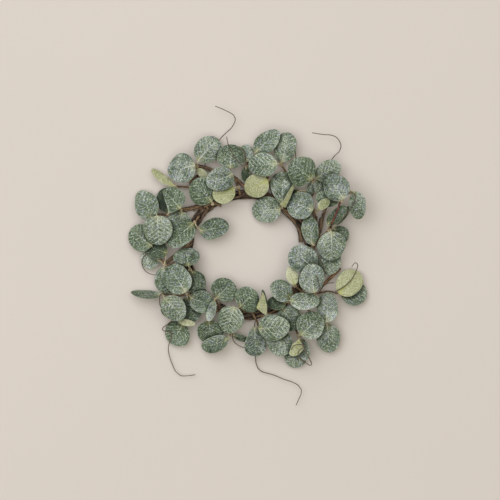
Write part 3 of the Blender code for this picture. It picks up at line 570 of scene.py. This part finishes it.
bark = {
    "patchScale": 160, "fibreEdge": (0.38, 0.64), "patchEdge": (0.52, 0.72, 0, 0.6),
    # the side edge sets the painted shade on a bar's sides, from how far each point faces up
    "sideEdge": (0.8, 0.05, 0), "bump": 0.8,
}


def grainGroup():
    # fibres that run along a stem, from the tube's own grain attribute, and soft patches
    group, into = newGroup("stemGrain", {"Scale": 1})
    return giveOut(group, {"Fibre": mottle(attribute(group, "grain", "Vector"), into["Scale"], 4, 0.6),
                           "Patch": mottle(objectPlace(group), bark["patchScale"], 2)})


groups = {"veins": veinGroup(), "frost": frostGroup(), "grain": grainGroup()}


def newMaterial(name, sockets):
    made = bpy.data.materials.new(name)
    made.use_nodes = True
    shader = made.node_tree.nodes["Principled BSDF"].inputs
    for label, value in sockets.items():
        shader[label].default_value = value
    return made, made.node_tree, shader


def surfaced(shader, colour, relief, strength, depth):
    tree = colour.id_data
    tree.links.new(colour, shader["Base Color"])
    bump = put(tree, "ShaderNodeBump", {"Height": relief, "Strength": strength, "Distance": depth})
    tree.links.new(bump.outputs[0], shader["Normal"])


def toneRamp(level, stops):
    made = put(level.id_data, "ShaderNodeValToRGB", {0: level})
    band = made.color_ramp.elements
    while len(band) < len(stops):
        band.new(0.5)
    for element, (position, code) in zip(band, stops):
        element.position, element.color = position, rgb(code)
    return made.outputs["Color"]


def tinted(base, mask, colour, share):
    return blend(times(mask, share), base, colour)


paint = {
    "gloss": {"Roughness": 0.62, "Sheen Weight": 0.1, "Specular IOR Level": 0.35},
    "tones": ((0, "#25331d"), (0.28, "#4f6040"), (0.48, "#6e7e60"), (0.68, "#909c81"),
        (1, "#ccd5c3")),
    "blueTones": ((0, "#2c332d"), (0.28, "#555e57"), (0.48, "#727d7f"), (0.68, "#939b9f"),
        (1, "#d3d5da")),
    "paleTones": ((0, "#787d52"), (0.35, "#a1a37b"), (0.55, "#b6b892"), (1, "#d9dabf")),
    # colours with their share where the mask is full
    # the light rim colour is partly a frosted edge, partly a painted highlight
    "warm": ("#b4b270", 0.4), "rim": ("#a9b497", 0.45), "paintedShade": ("#1f2b18", 0.54),
    "paleVein": "#bdc162", "paleSide": 0.6, "paleGreen": "#939e6a",
    "paleGreenEdge": (0, 1.2, 0, 0.6), "paleContrast": 1.05,
    # how much each mark lightens or darkens the tone
    "contrast": 2.05, "flecks": 0.86, "streaks": 0.4, "bloom": 0.38, "dots": 0.54, "vein": 0.32,
    # the dark green colour above and the darkening here under higher leaves are painted shade
    "net": -0.07, "midrib": 0.4, "shelterTone": -0.29, "underside": (0.3, 0.5),
    "relief": {"Side": -0.6, "Midrib": -1}, "fleckRelief": 0.5, "bump": (0.7, 0.0004),
}


def leafMaterial(name, under=False):
    made, tree, shader = newMaterial(name, paint["gloss"])
    look = put(tree, "ShaderNodeAttribute", attribute_name="look").outputs
    pale, tone, frosted = split(look["Color"], "Color")
    vein = put(tree, "ShaderNodeGroup", node_tree=groups["veins"]).outputs
    frost = put(tree, "ShaderNodeGroup", {"Amount": frosted}, node_tree=groups["frost"]).outputs
    # painted shade under leaves that lie higher: a darker tone and a deeper green
    paintedShade = attribute(tree, "paintedShade")
    streaky = times(plus(vein["Streak"], -0.5), paint["streaks"])
    grainy = plus(streaky, frost["Speckle"], paint["flecks"])
    soft = plus(tone, grainy, paint["contrast"])
    soft = level = plus(soft, frost["Patch"], paint["bloom"])
    striped = times(vein["Side"], attribute(tree, "ribbing"))
    for mark, mask in (("dots", frost["Dots"]), ("vein", striped), ("net", vein["Net"]),
                       ("midrib", vein["Midrib"]), ("shelterTone", paintedShade)):
        level = plus(level, mask, paint[mark])
    if under:
        level = plus(paint["underside"][0], level, paint["underside"][1])
    green, blue = (toneRamp(level, paint[tones]) for tones in ("tones", "blueTones"))
    base = blend(plus(look["Alpha"], frost["Tint"]), green, blue)
    base = tinted(base, vein["Warm"], *paint["warm"])
    paleLevel = plus(tone, plus(soft, tone, -1), paint["paleContrast"])
    paleBase = toneRamp(paleLevel, paint["paleTones"])
    greener = ramp(frost["Tint"], *paint["paleGreenEdge"])
    paleBase = blend(greener, paleBase, paint["paleGreen"])
    lines = times(sums("MAXIMUM", vein["Side"], vein["Warm"]), paint["paleSide"])
    lines = sums("MAXIMUM", lines, vein["Midrib"])
    base = blend(pale, base, blend(lines, paleBase, paint["paleVein"]))
    # lighter margin: partly a frosted edge, partly a painted highlight
    base = tinted(base, vein["Rim"], *paint["rim"])
    # painted shade: blended towards a deep green under higher leaves
    base = tinted(base, paintedShade, *paint["paintedShade"])
    relief = times(frost["Speckle"], paint["fleckRelief"])
    for mark, depth in paint["relief"].items():
        relief = plus(relief, vein[mark], depth)
    surfaced(shader, base, relief, *paint["bump"])
    return made


def stemMaterial(name, dark, light, patchColour, roughness, scale, bumpDepth, sides):
    made, tree, shader = newMaterial(name, {"Roughness": roughness})
    grain = put(tree, "ShaderNodeGroup", {"Scale": scale}, node_tree=groups["grain"]).outputs
    base = blend(ramp(grain["Fibre"], *bark["fibreEdge"]), dark, light)
    base = blend(ramp(grain["Patch"], *bark["patchEdge"]), base, patchColour)
    # painted shade: the sides of a bar are darkened towards the dark colour, the top stays light
    if sides:
        base = blend(ramp(attribute(tree, "upwardForPaintedShade"), *bark["sideEdge"], sides), base, dark)
    surfaced(shader, base, grain["Fibre"], bark["bump"], bumpDepth)
    return made


# look: (name, dark, light and patch colour, roughness, grain scale, bump depth in m, darker sides as a
# painted shade)
barks = {
    "petiole": ("petiole", "#b6a982", "#eae1bf", "#bdbf93", 0.6, 1.2, 0.0002, 0),
    "knot": ("budJoint", "#b09a78", "#ead9b8", "#cfbf92", 0.7, 1.5, 0.0004, 0),
    "stem": ("greenwoodStem", "#46341f", "#8f7454", "#77714a", 0.7, 1.3, 0.0003, 0),
    "redStem": ("reddishStem", "#4c241e", "#7a4034", "#6f5442", 0.6, 1.3, 0.0003, 0),
    "vine": ("vineBark", "#0e0803", "#7c634b", "#9b8069", 0.75, 0.9, 0.0008, 0.85),
    "twig": ("twigBark", "#180f07", "#8c7155", "#a98868", 0.75, 0.9, 0.0006, 0.7),
    "stub": ("cutBark", "#2e1f12", "#936e4a", "#b98a56", 0.75, 0.9, 0.0006, 0.6),
    "wire": ("coveredWire", "#4b4032", "#796d5c", "#625745", 0.6, 1.6, 0.0001, 0),
}
finishes = {look: stemMaterial(*row) for look, row in barks.items()}
finishes["leafTop"] = leafMaterial("frostedLeaf")
finishes["leafUnder"] = leafMaterial("leafUnderside", under=True)
print("materials", len(finishes))


# Shapes

def placed(name, data):
    made = bpy.data.objects.new(name, data)
    scene.collection.objects.link(made)
    return made


def dressed(name, mesh, *chosen):
    for look in chosen:
        mesh.materials.append(finishes[look])
    return placed(name, mesh)


def meshOf(name, work):
    mesh = bpy.data.meshes.new(name)
    work.to_mesh(mesh)
    work.free()
    return mesh


def joined(name, pieces):
    first = pieces[0]
    if len(pieces) > 1:
        with bpy.context.temp_override(active_object=first, object=first, selected_objects=pieces,
                                       selected_editable_objects=pieces):
            bpy.ops.object.join()
    first.name = first.data.name = name
    return first


# sides round a bar, how slim it is beside its solid, its ends as shares of that radius, and its skin
bars = {
    "strand": {"sides": 16, "slim": 0.96, "closed": True, "rough": 0.3, "lobes": 0.1},
    "loose": {"sides": 8, "closed": True, "rough": 0.3},
    "twig": {"sides": 14, "slim": 0.95, "rough": 0.4, "lobes": 0.08},
    "shoot": {"sides": 8, "ends": (1, 0.7), "rough": 0.3},
    "stem": {"sides": 10, "ends": (1, 0.8), "rough": 0.25, "lobes": 0.06},
    "petiole": {"sides": 8, "ends": (1.2, 0.7)},
    "wire": {"sides": 8, "slim": 0.9, "ends": (1, 0.75), "rough": 0.1},
}
skin = {"grainPress": 0.16, "lobeCount": 3, "lobeTwist": 0.42, "lumpsRound": 2.2, "lumpsAlong": 0.22}


def tube(name, points, radius, look, sides, slim=1, ends=(1, 1), closed=False, rough=0, lobes=0):
    # a round bar along points in mm, with grain coordinates and an uneven skin
    radius *= slim
    data = bpy.data.curves.new(name, "CURVE")
    data.dimensions = "3D"
    data.bevel_depth = radius * mm
    data.bevel_resolution = sides // 2 - 2
    data.use_fill_caps = not closed
    line = data.splines.new("POLY")
    line.points.add(len(points) - 1)
    line.use_cyclic_u = closed
    for k, (spot, p) in enumerate(zip(line.points, points)):
        spot.co = (*toPlace(p), 1)
        spot.radius = ends[0] + (ends[1] - ends[0]) * (k / (len(points) - 1))
    guide = placed(name, data)
    mesh = bpy.data.meshes.new_from_object(guide.evaluated_get(bpy.context.evaluated_depsgraph_get()))
    bpy.data.objects.remove(guide)
    mesh.materials.clear()
    work = bmesh.new()
    work.from_mesh(mesh)
    bmesh.ops.remove_doubles(work, verts=work.verts, dist=0.00001)
    bmesh.ops.recalc_face_normals(work, faces=work.faces)
    path = np.array([toPlace(p) for p in points]) / mm
    along = np.concatenate([[0], np.cumsum(np.linalg.norm(np.diff(path, axis=0), axis=1))])
    grain = work.verts.layers.float_vector.new("grain")
    # how far each point faces up, read by the painted shade on a bar's sides
    upwardForPaintedShade = work.verts.layers.float.new("upwardForPaintedShade")
    for vert in work.verts:
        here = np.array(vert.co) / mm
        near = int(((path - here) ** 2).sum(axis=1).argmin())
        ahead = Vector(path[min(near + 1, len(path) - 1)] - path[max(near - 1, 0)]).normalized()
        out = Vector(here - path[near])
        out -= ahead * out.dot(ahead)
        up = Vector((0, 0, 1)) if abs(ahead.z) < 0.85 else Vector((0.7, 0.7, 0))
        aside = ahead.cross(up).normalized()
        up = aside.cross(ahead)
        angle = atan2(out.dot(up), out.dot(aside))
        x, y, z = cos(angle), sin(angle), along[near]
        vert[grain] = (radius * x, radius * y, z * skin["grainPress"])
        vert[upwardForPaintedShade] = y
        if rough or lobes:
            lump = Vector((skin["lumpsRound"] * x, skin["lumpsRound"] * y, skin["lumpsAlong"] * z))
            swell = lobes * sin(skin["lobeCount"] * angle + skin["lobeTwist"] * z)
            swell += rough * noise.noise(lump)
            vert.co += out.normalized() * (swell * radius * mm)
            vert.co.z = max(vert.co.z, 0)
    work.to_mesh(mesh)
    work.free()
    mesh.shade_smooth()
    return dressed(name, mesh, look)


blades = {
    "rowsAlong": 30, "rowsAcross": 22, "thickness": 0.42, "sunk": 0.3, "narrowest": 0.25, "quilt": 0.16,
    "groove": 0.24, "grooveWidth": 0.8, "ripple": 0.3, "ripples": 9, "wave": 0.03, "waves": 7.5,
    # the reach and the shift toward the light set the painted shade under higher leaves
    "paintedHalfShade": 0.11, "paintedShadeReach": 3.6, "towardLight": (-0.7, 0.7), "curlRise": 1.3, "curlPull": 0.05,
}
# curled margins, (spray, leaf): (side, where the curl starts, how much lighter it is: above 0 the paler
# underside showing, below 0 a painted shade on the fold)
curls = {
    ("left_lower", 4): (1, 0.72, 0.16), ("bottom_right", 2): (-1, 0.45, 0.1),
    ("bottom_right", 3): (1, 0.55, 0.14), ("left_upper", 1): (1, 0.84, 0.45),
    ("bottom", 0): (-1, 0.25, 0.1), ("foot", 0): (-1, 0.45, 0.1), ("left_lower", 0): (-1, 0.55, 0.08),
    ("right_mid", 0): (-1, 0.6, -0.12), ("right", 5): (1, 0.5, -0.12), ("ring_left", 0): (1, 0.7, 0.1),
    ("ring_low_left", 0): (-1, 0.55, 0.1),
}
# leaves with an edge turned under: half widths in mm along the +v and -v sides, as (share, half)
turned = {
    ("bottom_right", 0): ([(0, 0.3), (0.38, 6.7), (0.84, 0.4), (1, 0.2)],
                          [(0, 0.8), (0.38, 4.4), (0.81, 3.1), (1, 0.6)]),
    ("foot", 1): ([(0, 0.2), (0.25, 6.1), (0.43, 7.6), (0.83, 4.4), (1, 0.3)],
                  [(0, 0.2), (0.38, 4.9), (0.95, 4.9), (1, 3)]),
    ("left_upper", 1): ([(0, 2), (0.1, 9.5), (0.155, 12.5), (0.41, 8.9), (0.76, 5.1), (1, 1.8)], None),
    ("ring_upper", 1): ([(0, 3.6), (0.06, 3.4), (0.23, 1.7), (0.47, 2), (1, 0.7)],
                        [(0, 3.2), (0.38, 3.1), (0.67, 2.3), (1, 1.2)]),
}
# a midrib that isn't the blade's own middle line: from, to, width
ribs = {("bottom_right", 0): ((6.3, -51.5), (12.5, -39.7), 22)}
# how much clearer the side veins of a look are
ribbing = {"ribbed": 2.6, "veined": 1.9, "fair": 1.6, "shade": 1.5, "olive": 1.4, "deep": 1.3,
    "light": 1.2}
# look: tone, frost, blue and, where it is, how pale
looks = {
    "green": (0.42, 0.35, 0.25), "light": (0.5, 0.45, 0.25), "bright": (0.6, 0.55, 0.35),
    "veined": (0.44, 0.35, 0.15), "ribbed": (0.49, 0.3, 0.05), "frosty": (0.47, 0.75, 0.4),
    "hoar": (0.4, 0.75, 0.3), "bluish": (0.42, 0.5, 0.5), "deep": (0.34, 0.25, 0.1),
    "deepest": (0.15, 0.25, 0.1), "dark": (0.22, 0.3, 0.2), "grey": (0.42, 0.45, 0.3),
    "fair": (0.54, 0.4, 0.2), "slate": (0.31, 0.4, 0.3), "olive": (0.4, 0.3, 0),
    "under": (0.37, 0.3, 0.2), "silver": (0.54, 0.6, 0.4), "steel": (0.37, 0.5, 0.45),
    "shade": (0.28, 0.25, 0.05), "pale": (0.5, 0.1, 0, 1), "paleSoft": (0.38, 0.1, 0, 1),
    "paleBright": (0.72, 0.1, 0, 1), "paleDim": (0.36, 0.1, 0, 0.8),
}


def leafRelief(s, t, v, number):
    # mm above the plain blade: sunken midrib, quilted side veins and a rippled margin
    taper = min(1, 6 * s) * min(1, 3 * (1.02 - s))
    groove = -blades["groove"] * exp(-(v / blades["grooveWidth"]) ** 2) * taper
    stagger = veins["stagger"] if t > 0 else -veins["stagger"]
    wave = (s - veins["sweep"] * abs(t) ** veins["bend"]) * veins["pairs"] + stagger
    quilt = -blades["quilt"] * cos(2 * pi * wave)
    quilt = quilt * min(1, 3 * abs(t)) * min(1, 4 * (1.05 - abs(t)))
    phase = blades["ripples"] * s + 2.1 * number + (2 if t > 0 else 0)
    ripple = blades["ripple"] * abs(t) ** 4 * sin(phase) * taper
    return groove + quilt * taper + ripple


def paintedShadeUnderLeaves(spots, leaf):
    # painted shade: 0 in the open to 1 under a leaf that lies higher, cast away from the light and fading
    # over a few mm
    out = np.zeros(len(spots))
    lit = spots + np.array(blades["towardLight"])
    above = [other for group in laid["leaf"].values() for other in group if other.number > leaf.number]
    for other in above:
        rel = lit - np.array(other.base)
        u, v = rel @ np.array(other.along), rel @ np.array(other.across)
        beyond = beyondEdge(u, v, other.length, other.form, 0.03)
        out = np.maximum(out, np.clip(1 - beyond / blades["paintedShadeReach"], 0, 1))
    return out


def turnedHalf(key, share, side):
    outline = turned.get(key, (None, None))[0 if side > 0 else 1]
    return float(np.interp(share, *zip(*outline))) if outline else None


def addBlade(work, leaf, layers):
    key, number, length, form = leaf.key, leaf.number, leaf.length, leaf.form
    curl = curls.get(key)
    tone, frost, blue, pale = (*looks[leaf.look], 0)[:4]
    blade, place, lookLayer, paintedShadeLayer, ribLayer = layers
    sheet = bmesh.ops.create_grid(work, x_segments=blades["rowsAlong"], y_segments=blades["rowsAcross"],
                                  size=1)["verts"]
    faces = list(dict.fromkeys(face for vert in sheet for face in vert.link_faces))
    spots = []
    for vert in sheet:
        share = (1 - cos((vert.co.x + 1) / 2 * pi)) / 2
        t = vert.co.y
        phase = blades["waves"] * share + 1.3 * number + (1.7 if t > 0 else 0)
        outline = float(halfWidth(share, np.sign(t), form)) * (1 + blades["wave"] * sin(phase))
        half = turnedHalf(key, share, t) or max(outline, blades["narrowest"])
        u, v = share * length, t * half
        bow = form[3] * sin(pi * share)
        curled = max(0, (curl[0] * t - curl[1]) / (1 - curl[1])) if curl else 0
        p = onBlade(leaf, u, v * (1 - blades["curlPull"] * curled) + bow)
        p.z += leafRelief(share, t, v, number) - blades["sunk"] + blades["curlRise"] * curled ** 2
        spots.append((p.x, p.y))
        vert.co = toPlace(p)
        rim = min(half - abs(v), u + 0.3, length - u + 0.3)
        along, across = share, 2 * v / form[0]
        if key in ribs:
            start, end, wide = ribs[key]
            rib, away = Vector(end) - Vector(start), Vector((p.x, p.y)) - Vector(start)
            along, across = away.dot(rib) / rib.length_squared, 2 * away.cross(rib) / rib.length / wide
        vert[blade] = (along, across, rim)
        vert[place] = (u + 37 * number, v, 0)
        # painted shade: one half and one end of each blade are made lighter, the other darker, as if by the
        # fall of light
        turn = t * sin(4.7 * number) + (2 * share - 1) * cos(3.1 * number)
        # a curled margin is paler where the underside shows and darker, as painted shade, where the fold is
        # shaded
        here = tone + blades["paintedHalfShade"] * turn + (curl[2] * min(1, 3 * curled) if curl else 0)
        vert[lookLayer] = (pale, here, frost, blue)
    # painted shade from the leaves that lie higher
    for vert, shade in zip(sheet, paintedShadeUnderLeaves(np.array(spots), leaf)):
        vert[paintedShadeLayer] = float(shade)
        vert[ribLayer] = ribbing.get(leaf.look, 1.0)
    made = bmesh.ops.extrude_face_region(work, geom=faces)["geom"]
    bmesh.ops.translate(work, vec=(0, 0, -blades["thickness"] * mm),
                        verts=[part for part in made if isinstance(part, bmesh.types.BMVert)])


def bladesMesh(name, group):
    work = bmesh.new()
    data = work.verts.layers
    layers = [data.float_vector.new("blade"), data.float_vector.new("place"),
              data.float_color.new("look"), data.float.new("paintedShade"), data.float.new("ribbing")]
    for leaf in group:
        addBlade(work, leaf, layers)
    bmesh.ops.recalc_face_normals(work, faces=work.faces)
    for face in work.faces:
        face.smooth = abs(face.normal.z) > 0.3
        face.material_index = 0 if face.normal.z > 0 else 1
    return dressed(name, meshOf(name, work), "leafTop", "leafUnder")


knots = {"radius": 1.9, "apart": 2.5, "flat": 0.85, "bulge": 0.28, "bulgeScale": 1.1}


def knotMesh(name, at):
    work = bmesh.new()
    bmesh.ops.create_icosphere(work, subdivisions=3, radius=knots["radius"] * mm)
    grain = work.verts.layers.float_vector.new("grain")
    for vert in work.verts:
        spot = vert.co / mm
        vert[grain] = spot
        bulge = 1 + knots["bulge"] * noise.noise(spot * knots["bulgeScale"] + at)
        x, y, z = vert.co
        vert.co = Vector((x * bulge, y * bulge, z * bulge * knots["flat"])) + toPlace(at)
    mesh = meshOf(name, work)
    mesh.shade_smooth()
    return dressed(name, mesh, "knot")


def spray(name):
    pieces = [bladesMesh(name, laid["leaf"][name])]
    joints = []
    for k, path in enumerate(laid["stem"][name]):
        look = "redStem" if name == "right" and k else "stem"
        pieces.append(tube(name + "Stem", smoothed(path), lay["stemRadius"], look, **bars["stem"]))
    for leaf in laid["leaf"][name]:
        route = smoothed(leaf.route, 0.8)
        pieces.append(tube(name + "Petiole", route, lay["petioleRadius"], "petiole", **bars["petiole"]))
        if all((leaf.joint - spot).length > knots["apart"] for spot in joints):
            joints.append(leaf.joint)
    pieces += [knotMesh(name + "Knot", spot) for spot in joints]
    return joined("leafy_" + name, pieces)


def ridden(piece, node):
    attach(piece, "root")
    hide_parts(node)


# thin vines wound loosely over the ring, one with each strand: (turns round the ring, start, radius)
looseVines = {"1": (2, 0.4, 0.65), "2": (-3, 2, 0.5), "3": (4, 3.9, 0.7), "4": (-2, 5.1, 0.55)}
looseLay = {"points": 360, "clear": 0.1, "sway": 0.6, "sways": 3}
# thin shoots beside a twig: (offset, radius, from, to), the last two as shares of its length
shoots = {
    "left_upper": [(2.5, 0.8, 0.04, 0.62), (-2.3, 0.7, 0.1, 0.86)],
    "left_lower": [(2, 0.6, 0.05, 0.7)],
    "right_inner": [(-1.9, 0.6, 0, 0.75)],
    "right_outer": [(1.9, 0.6, 0.05, 0.8)],
    "chord": [(1.9, 0.6, 0, 0.5)],
}
shootLay = {"sway": 0.5, "pace": 0.21, "drop": 0.6}


def looseVine(turns, start, radius):
    reach = lay["strandOrbit"] + lay["strandRadius"] + looseLay["clear"]

    def windAt(turn):
        return turns * turn + start + looseLay["sway"] * sin(looseLay["sways"] * turn + start)

    return woundRound(looseLay["points"], reach, windAt, radius)


def shootPoints(points, offset, radius, first, last):
    path = smoothed(points)
    end = len(path) - 1
    path = path[int(first * end):int(last * end) + 1]
    out = []
    for k, p in enumerate(path):
        ahead = path[min(k + 1, len(path) - 1)] - path[max(k - 1, 0)]
        aside = Vector((-ahead.y, ahead.x, 0)).normalized()
        p = p + aside * (offset + shootLay["sway"] * sin(shootLay["pace"] * k + offset))
        out.append(Vector((p.x, p.y, max(p.z - shootLay["drop"], radius))))
    return out


for name, points in laid["strand"].items():
    strand = tube("vine_" + name, points, lay["strandRadius"], "vine", **bars["strand"])
    loose = tube("loose", looseVine(*looseVines[name]), looseVines[name][2], "vine", **bars["loose"])
    ridden(joined("vine_" + name, [strand, loose]), "ring_strand_" + name)
for name, points in laid["twig"].items():
    look = "stub" if name == "stub" else "twig"
    parts = [tube("cutting_" + name, smoothed(points), twigs[name][0], look, **bars["twig"])]
    for row in shoots.get(name, ()):
        parts.append(tube("shoot", shootPoints(points, *row), row[1], look, **bars["shoot"]))
    ridden(joined("cutting_" + name, parts), "twig_" + name)
print("vines", len(laid["strand"]) + len(laid["twig"]))
for name in stems:
    ridden(spray(name), "spray_" + name)
print("sprays", len(stems))
for name, points in laid["wire"].items():
    curl = tube("curl_" + name, smoothed(points, 1.0), lay["wireRadius"], "wire", **bars["wire"])
    ridden(curl, "wire_" + name)
print("wires", len(laid["wire"]))


# Table, light and camera

studio = {
    "table": ("#dcd3ca", "#d8d0c5"), "tableClouds": (0.3, 0.7, 0, 0.25), "tableSize": 6, "below": 0.0001,
    # place, width, power and colour
    "lamps": {
        "window": ((-1.6, 1.4, 2.8), 4.4, 37.6, (0.95, 1, 1.19)),
        "ceiling": ((-0.25, 0.3, 3.2), 4.2, 75, (1.01, 1, 1)),
    },
    "room": "#f4f0dc", "fill": 0.33,
    "cameraHeight": 2.6, "framed": 0.5, "framedAt": 0.02, "centre": (0, 6),
}


def makeTable():
    work = bmesh.new()
    bmesh.ops.create_grid(work, x_segments=1, y_segments=1, size=studio["tableSize"] / 2)
    mesh = meshOf("table", work)
    made, tree, shader = newMaterial("paleTable", {"Roughness": 0.85, "Specular IOR Level": 0.2})
    clouds = ramp(mottle(objectPlace(tree), 3, 2), *studio["tableClouds"])
    tree.links.new(blend(clouds, *studio["table"]), shader["Base Color"])
    mesh.materials.append(made)
    table = placed("table", mesh)
    table.location.z = -studio["below"]


def softLight(name, place, size, power, colour):
    data = bpy.data.lights.new(name, "AREA")
    data.shape, data.size, data.energy, data.color = "DISK", size, power, colour
    lamp = placed(name, data)
    lamp.location = place
    lamp.rotation_euler = (-Vector(place)).to_track_quat("-Z", "Y").to_euler()


def makeCamera():
    data = bpy.data.cameras.new("overhead")
    distance = studio["cameraHeight"] - studio["framedAt"]
    data.lens = data.sensor_width * distance / studio["framed"]
    data.clip_end = 20
    camera = placed("overhead", data)
    camera.location = toPlace(Vector((*studio["centre"], 0)))
    camera.location.z = studio["cameraHeight"]
    scene.camera = camera


makeTable()
for name, lamp in studio["lamps"].items():
    softLight(name, *lamp)
world = bpy.data.worlds.new("room")
world.use_nodes = True
background = world.node_tree.nodes["Background"].inputs
background["Color"].default_value = rgb(studio["room"])
background["Strength"].default_value = studio["fill"]
scene.world = world
scene.view_settings.view_transform = "Standard"
makeCamera()
print("table, light and camera")
